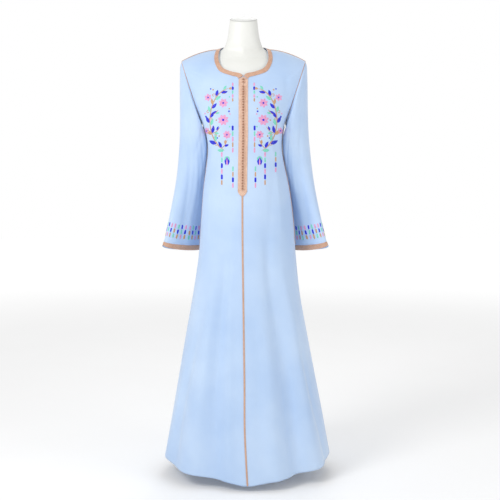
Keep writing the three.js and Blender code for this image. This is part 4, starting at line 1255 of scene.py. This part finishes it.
def leafy(build, layer, stem, leaves, place, half_stem):
    """A stem and the leaves that grow from it on both sides."""
    stem = np.array(stem)
    stitched(build, layer, stem, half_stem, "tan", place, STEM_LINE, points=6 * len(stem), rise=STEM_RISE)
    line = eased(stem, even_places(stem, 60))
    for share, side, length, half, colour in leaves:
        at = min(58, int(share * 59))
        step = line[at + 1] - line[at]
        heading = math.atan2(step[1], step[0]) + side * LEAF_LEAN
        stitched(build, layer, line[at] + turned(heading, length, -side * 0.5), half, colour, place, LEAF)


def spray(side):
    """All the stitches of one side of the chest, as a bmesh."""
    build, layer = new_build()

    def place(x, z):
        return on_front(side * x, z)

    leafy(build, layer, MAIN_STEM, STEM_LEAVES, place, STEM_HALF)
    for stem, leaves in SPRIGS:
        leafy(build, layer, stem, leaves, place, SPRIG_HALF)
    for start, heading, length, turns in TENDRILS:
        grow = np.linspace(0, 1, 16)
        angle = math.radians(heading) + 2 * math.pi * turns * grow ** 1.8
        curl = np.stack([np.cumsum(np.cos(angle)), np.cumsum(np.sin(angle))], axis=1) * length / 16
        stitched(build, layer, np.array(start) + curl, TENDRIL_HALF, "tan", place, STEM_LINE, points=20,
                 rise=TENDRIL_RISE)
    for centre, petals, length, half in DAISIES:
        for k in range(petals):
            heading = 2 * math.pi * (k + 0.3) / petals
            root = np.array(centre) + PETAL_FOOT * np.array([math.cos(heading), math.sin(heading)])
            stitched(build, layer, root + turned(heading, length, 0.25), half, "pink", place, PETAL)
        disc = DISC_SHARE * length
        stitched(build, layer, np.array(centre) + [(-disc, 0), (0, 0), (disc, 0)], disc, "blue", place,
                 BAR, points=7, rise=DISC_RISE)
    for centre, radius, colour in BERRIES:
        stitched(build, layer, np.array(centre) + [(-radius, 0), (0, 0), (radius, 0)], radius, colour,
                 place, BAR, points=7, rise=BERRY_RISE)
    for lean, length, half, colour in BUD_PETALS:
        heading = math.radians(-90 + lean)
        stitched(build, layer, np.array(BUD) + turned(heading, length, -math.radians(lean)), half, colour,
                 place, LEAF)
    return build


for side, name in ((-1, "left"), (1, "right")):
    finish_grids("chest_spray_" + name, spray(side), threads)

# ---- Drop lines --------------------------------------------------------------------------------
# Straight vertical lines of short satin bars in turn blue, mint, pink and tan, that hang from the
# chest embroidery beside the opening.
BAR_HALF = {"blue": 0.0034, "mint": 0.0026, "pink": 0.0027, "tan": 0.0024}
BAR_GAP = 0.0008
# Places of the lines across the front, their top and foot, and their colours.
DROPS = [
    ((-0.0350, 0.0360), 1.336, 1.271, ("pink", "blue", "mint", "pink", "tan")),
    ((-0.0350, 0.0370), 1.194, 1.104, ("blue", "mint", "pink", "tan", "pink")),
    ((-0.0345, 0.0400), 1.061, 0.988, ("mint", "tan", "blue", "pink")),
    ((-0.0715, 0.0720), 1.109, 0.997, ("pink", "mint", "blue", "pink", "blue", "tan")),
    ((0.1080,), 1.110, 1.040, ("mint", "tan", "blue", "pink")),
]

drops, drops_uv = new_build()
for places, top, foot, colours in DROPS:
    for x in places:
        pitch = (top - foot) / len(colours)
        for k, colour in enumerate(colours):
            head = top - k * pitch
            stitched(drops, drops_uv, [(x, head), (x, head - pitch / 2), (x, head - pitch + BAR_GAP)],
                     BAR_HALF[colour], colour, on_front, BAR)
finish_grids("drop_lines", drops, threads)

# ---- Cuff bars ---------------------------------------------------------------------------------
# A band of upright satin bars in three rows round the lower end of each sleeve, in the same silks.
# Every column runs with the cloth, and the colours repeat every four columns.
CUFF_COLUMNS = 28
CUFF_FOOT = 0.035  # from the sleeve's lower edge to the band
CUFF_BAR = 0.0172  # height of one bar with its gap
CUFF_HALF = 0.0032
CUFF_PATTERN = [("blue", "mint", "pink"), ("pink", "blue", "tan"), ("pink", "tan", "mint"),
                ("mint", "blue", "tan")]
CUFF_RING = SLEEVE_UP - 12  # the ring of the sleeve whose girth the band follows


def on_sleeve(name):
    """A function that gives the sleeve's point and normal at a share of the way round and a height."""
    sleeve = sleeves[name]
    tops = sleeve["rise"][-1]

    def place(turn, up):
        column = (turn % 1) * (SLEEVE_ACROSS - 1)
        c = int(column)
        share_c = column - c
        height = tops[c] * (1 - share_c) + tops[c + 1] * share_c - up
        row = np.interp(height, sleeve["rise"][:, c], np.arange(SLEEVE_UP))
        r = min(int(row), SLEEVE_UP - 2)
        share_r = row - r
        point, normal = (
            sum(sleeve[key][r + i, c + j] * (share_r if i else 1 - share_r) * (share_c if j else 1 - share_c)
                for i in (0, 1) for j in (0, 1)) for key in ("grid", "out"))
        return point, normal / np.linalg.norm(normal)

    return place


for name in ("left", "right"):
    band, band_uv = new_build()
    girth = sleeves[name]["around"][CUFF_RING, -1]
    sleeve_place = on_sleeve(name)

    def band_place(along, up):
        return sleeve_place(along / girth, up)

    for k in range(CUFF_COLUMNS):
        along = girth * (k + 0.5) / CUFF_COLUMNS
        for row, colour in enumerate(CUFF_PATTERN[k % len(CUFF_PATTERN)]):
            foot = CUFF_FOOT + (2 - row) * CUFF_BAR
            head = foot + CUFF_BAR - BAR_GAP
            stitched(band, band_uv, [(along, foot), (along, foot + CUFF_BAR / 2), (along, head)],
                     CUFF_HALF, colour, band_place, BAR, points=7)
    finish_grids("cuff_bars_" + name, band, threads)
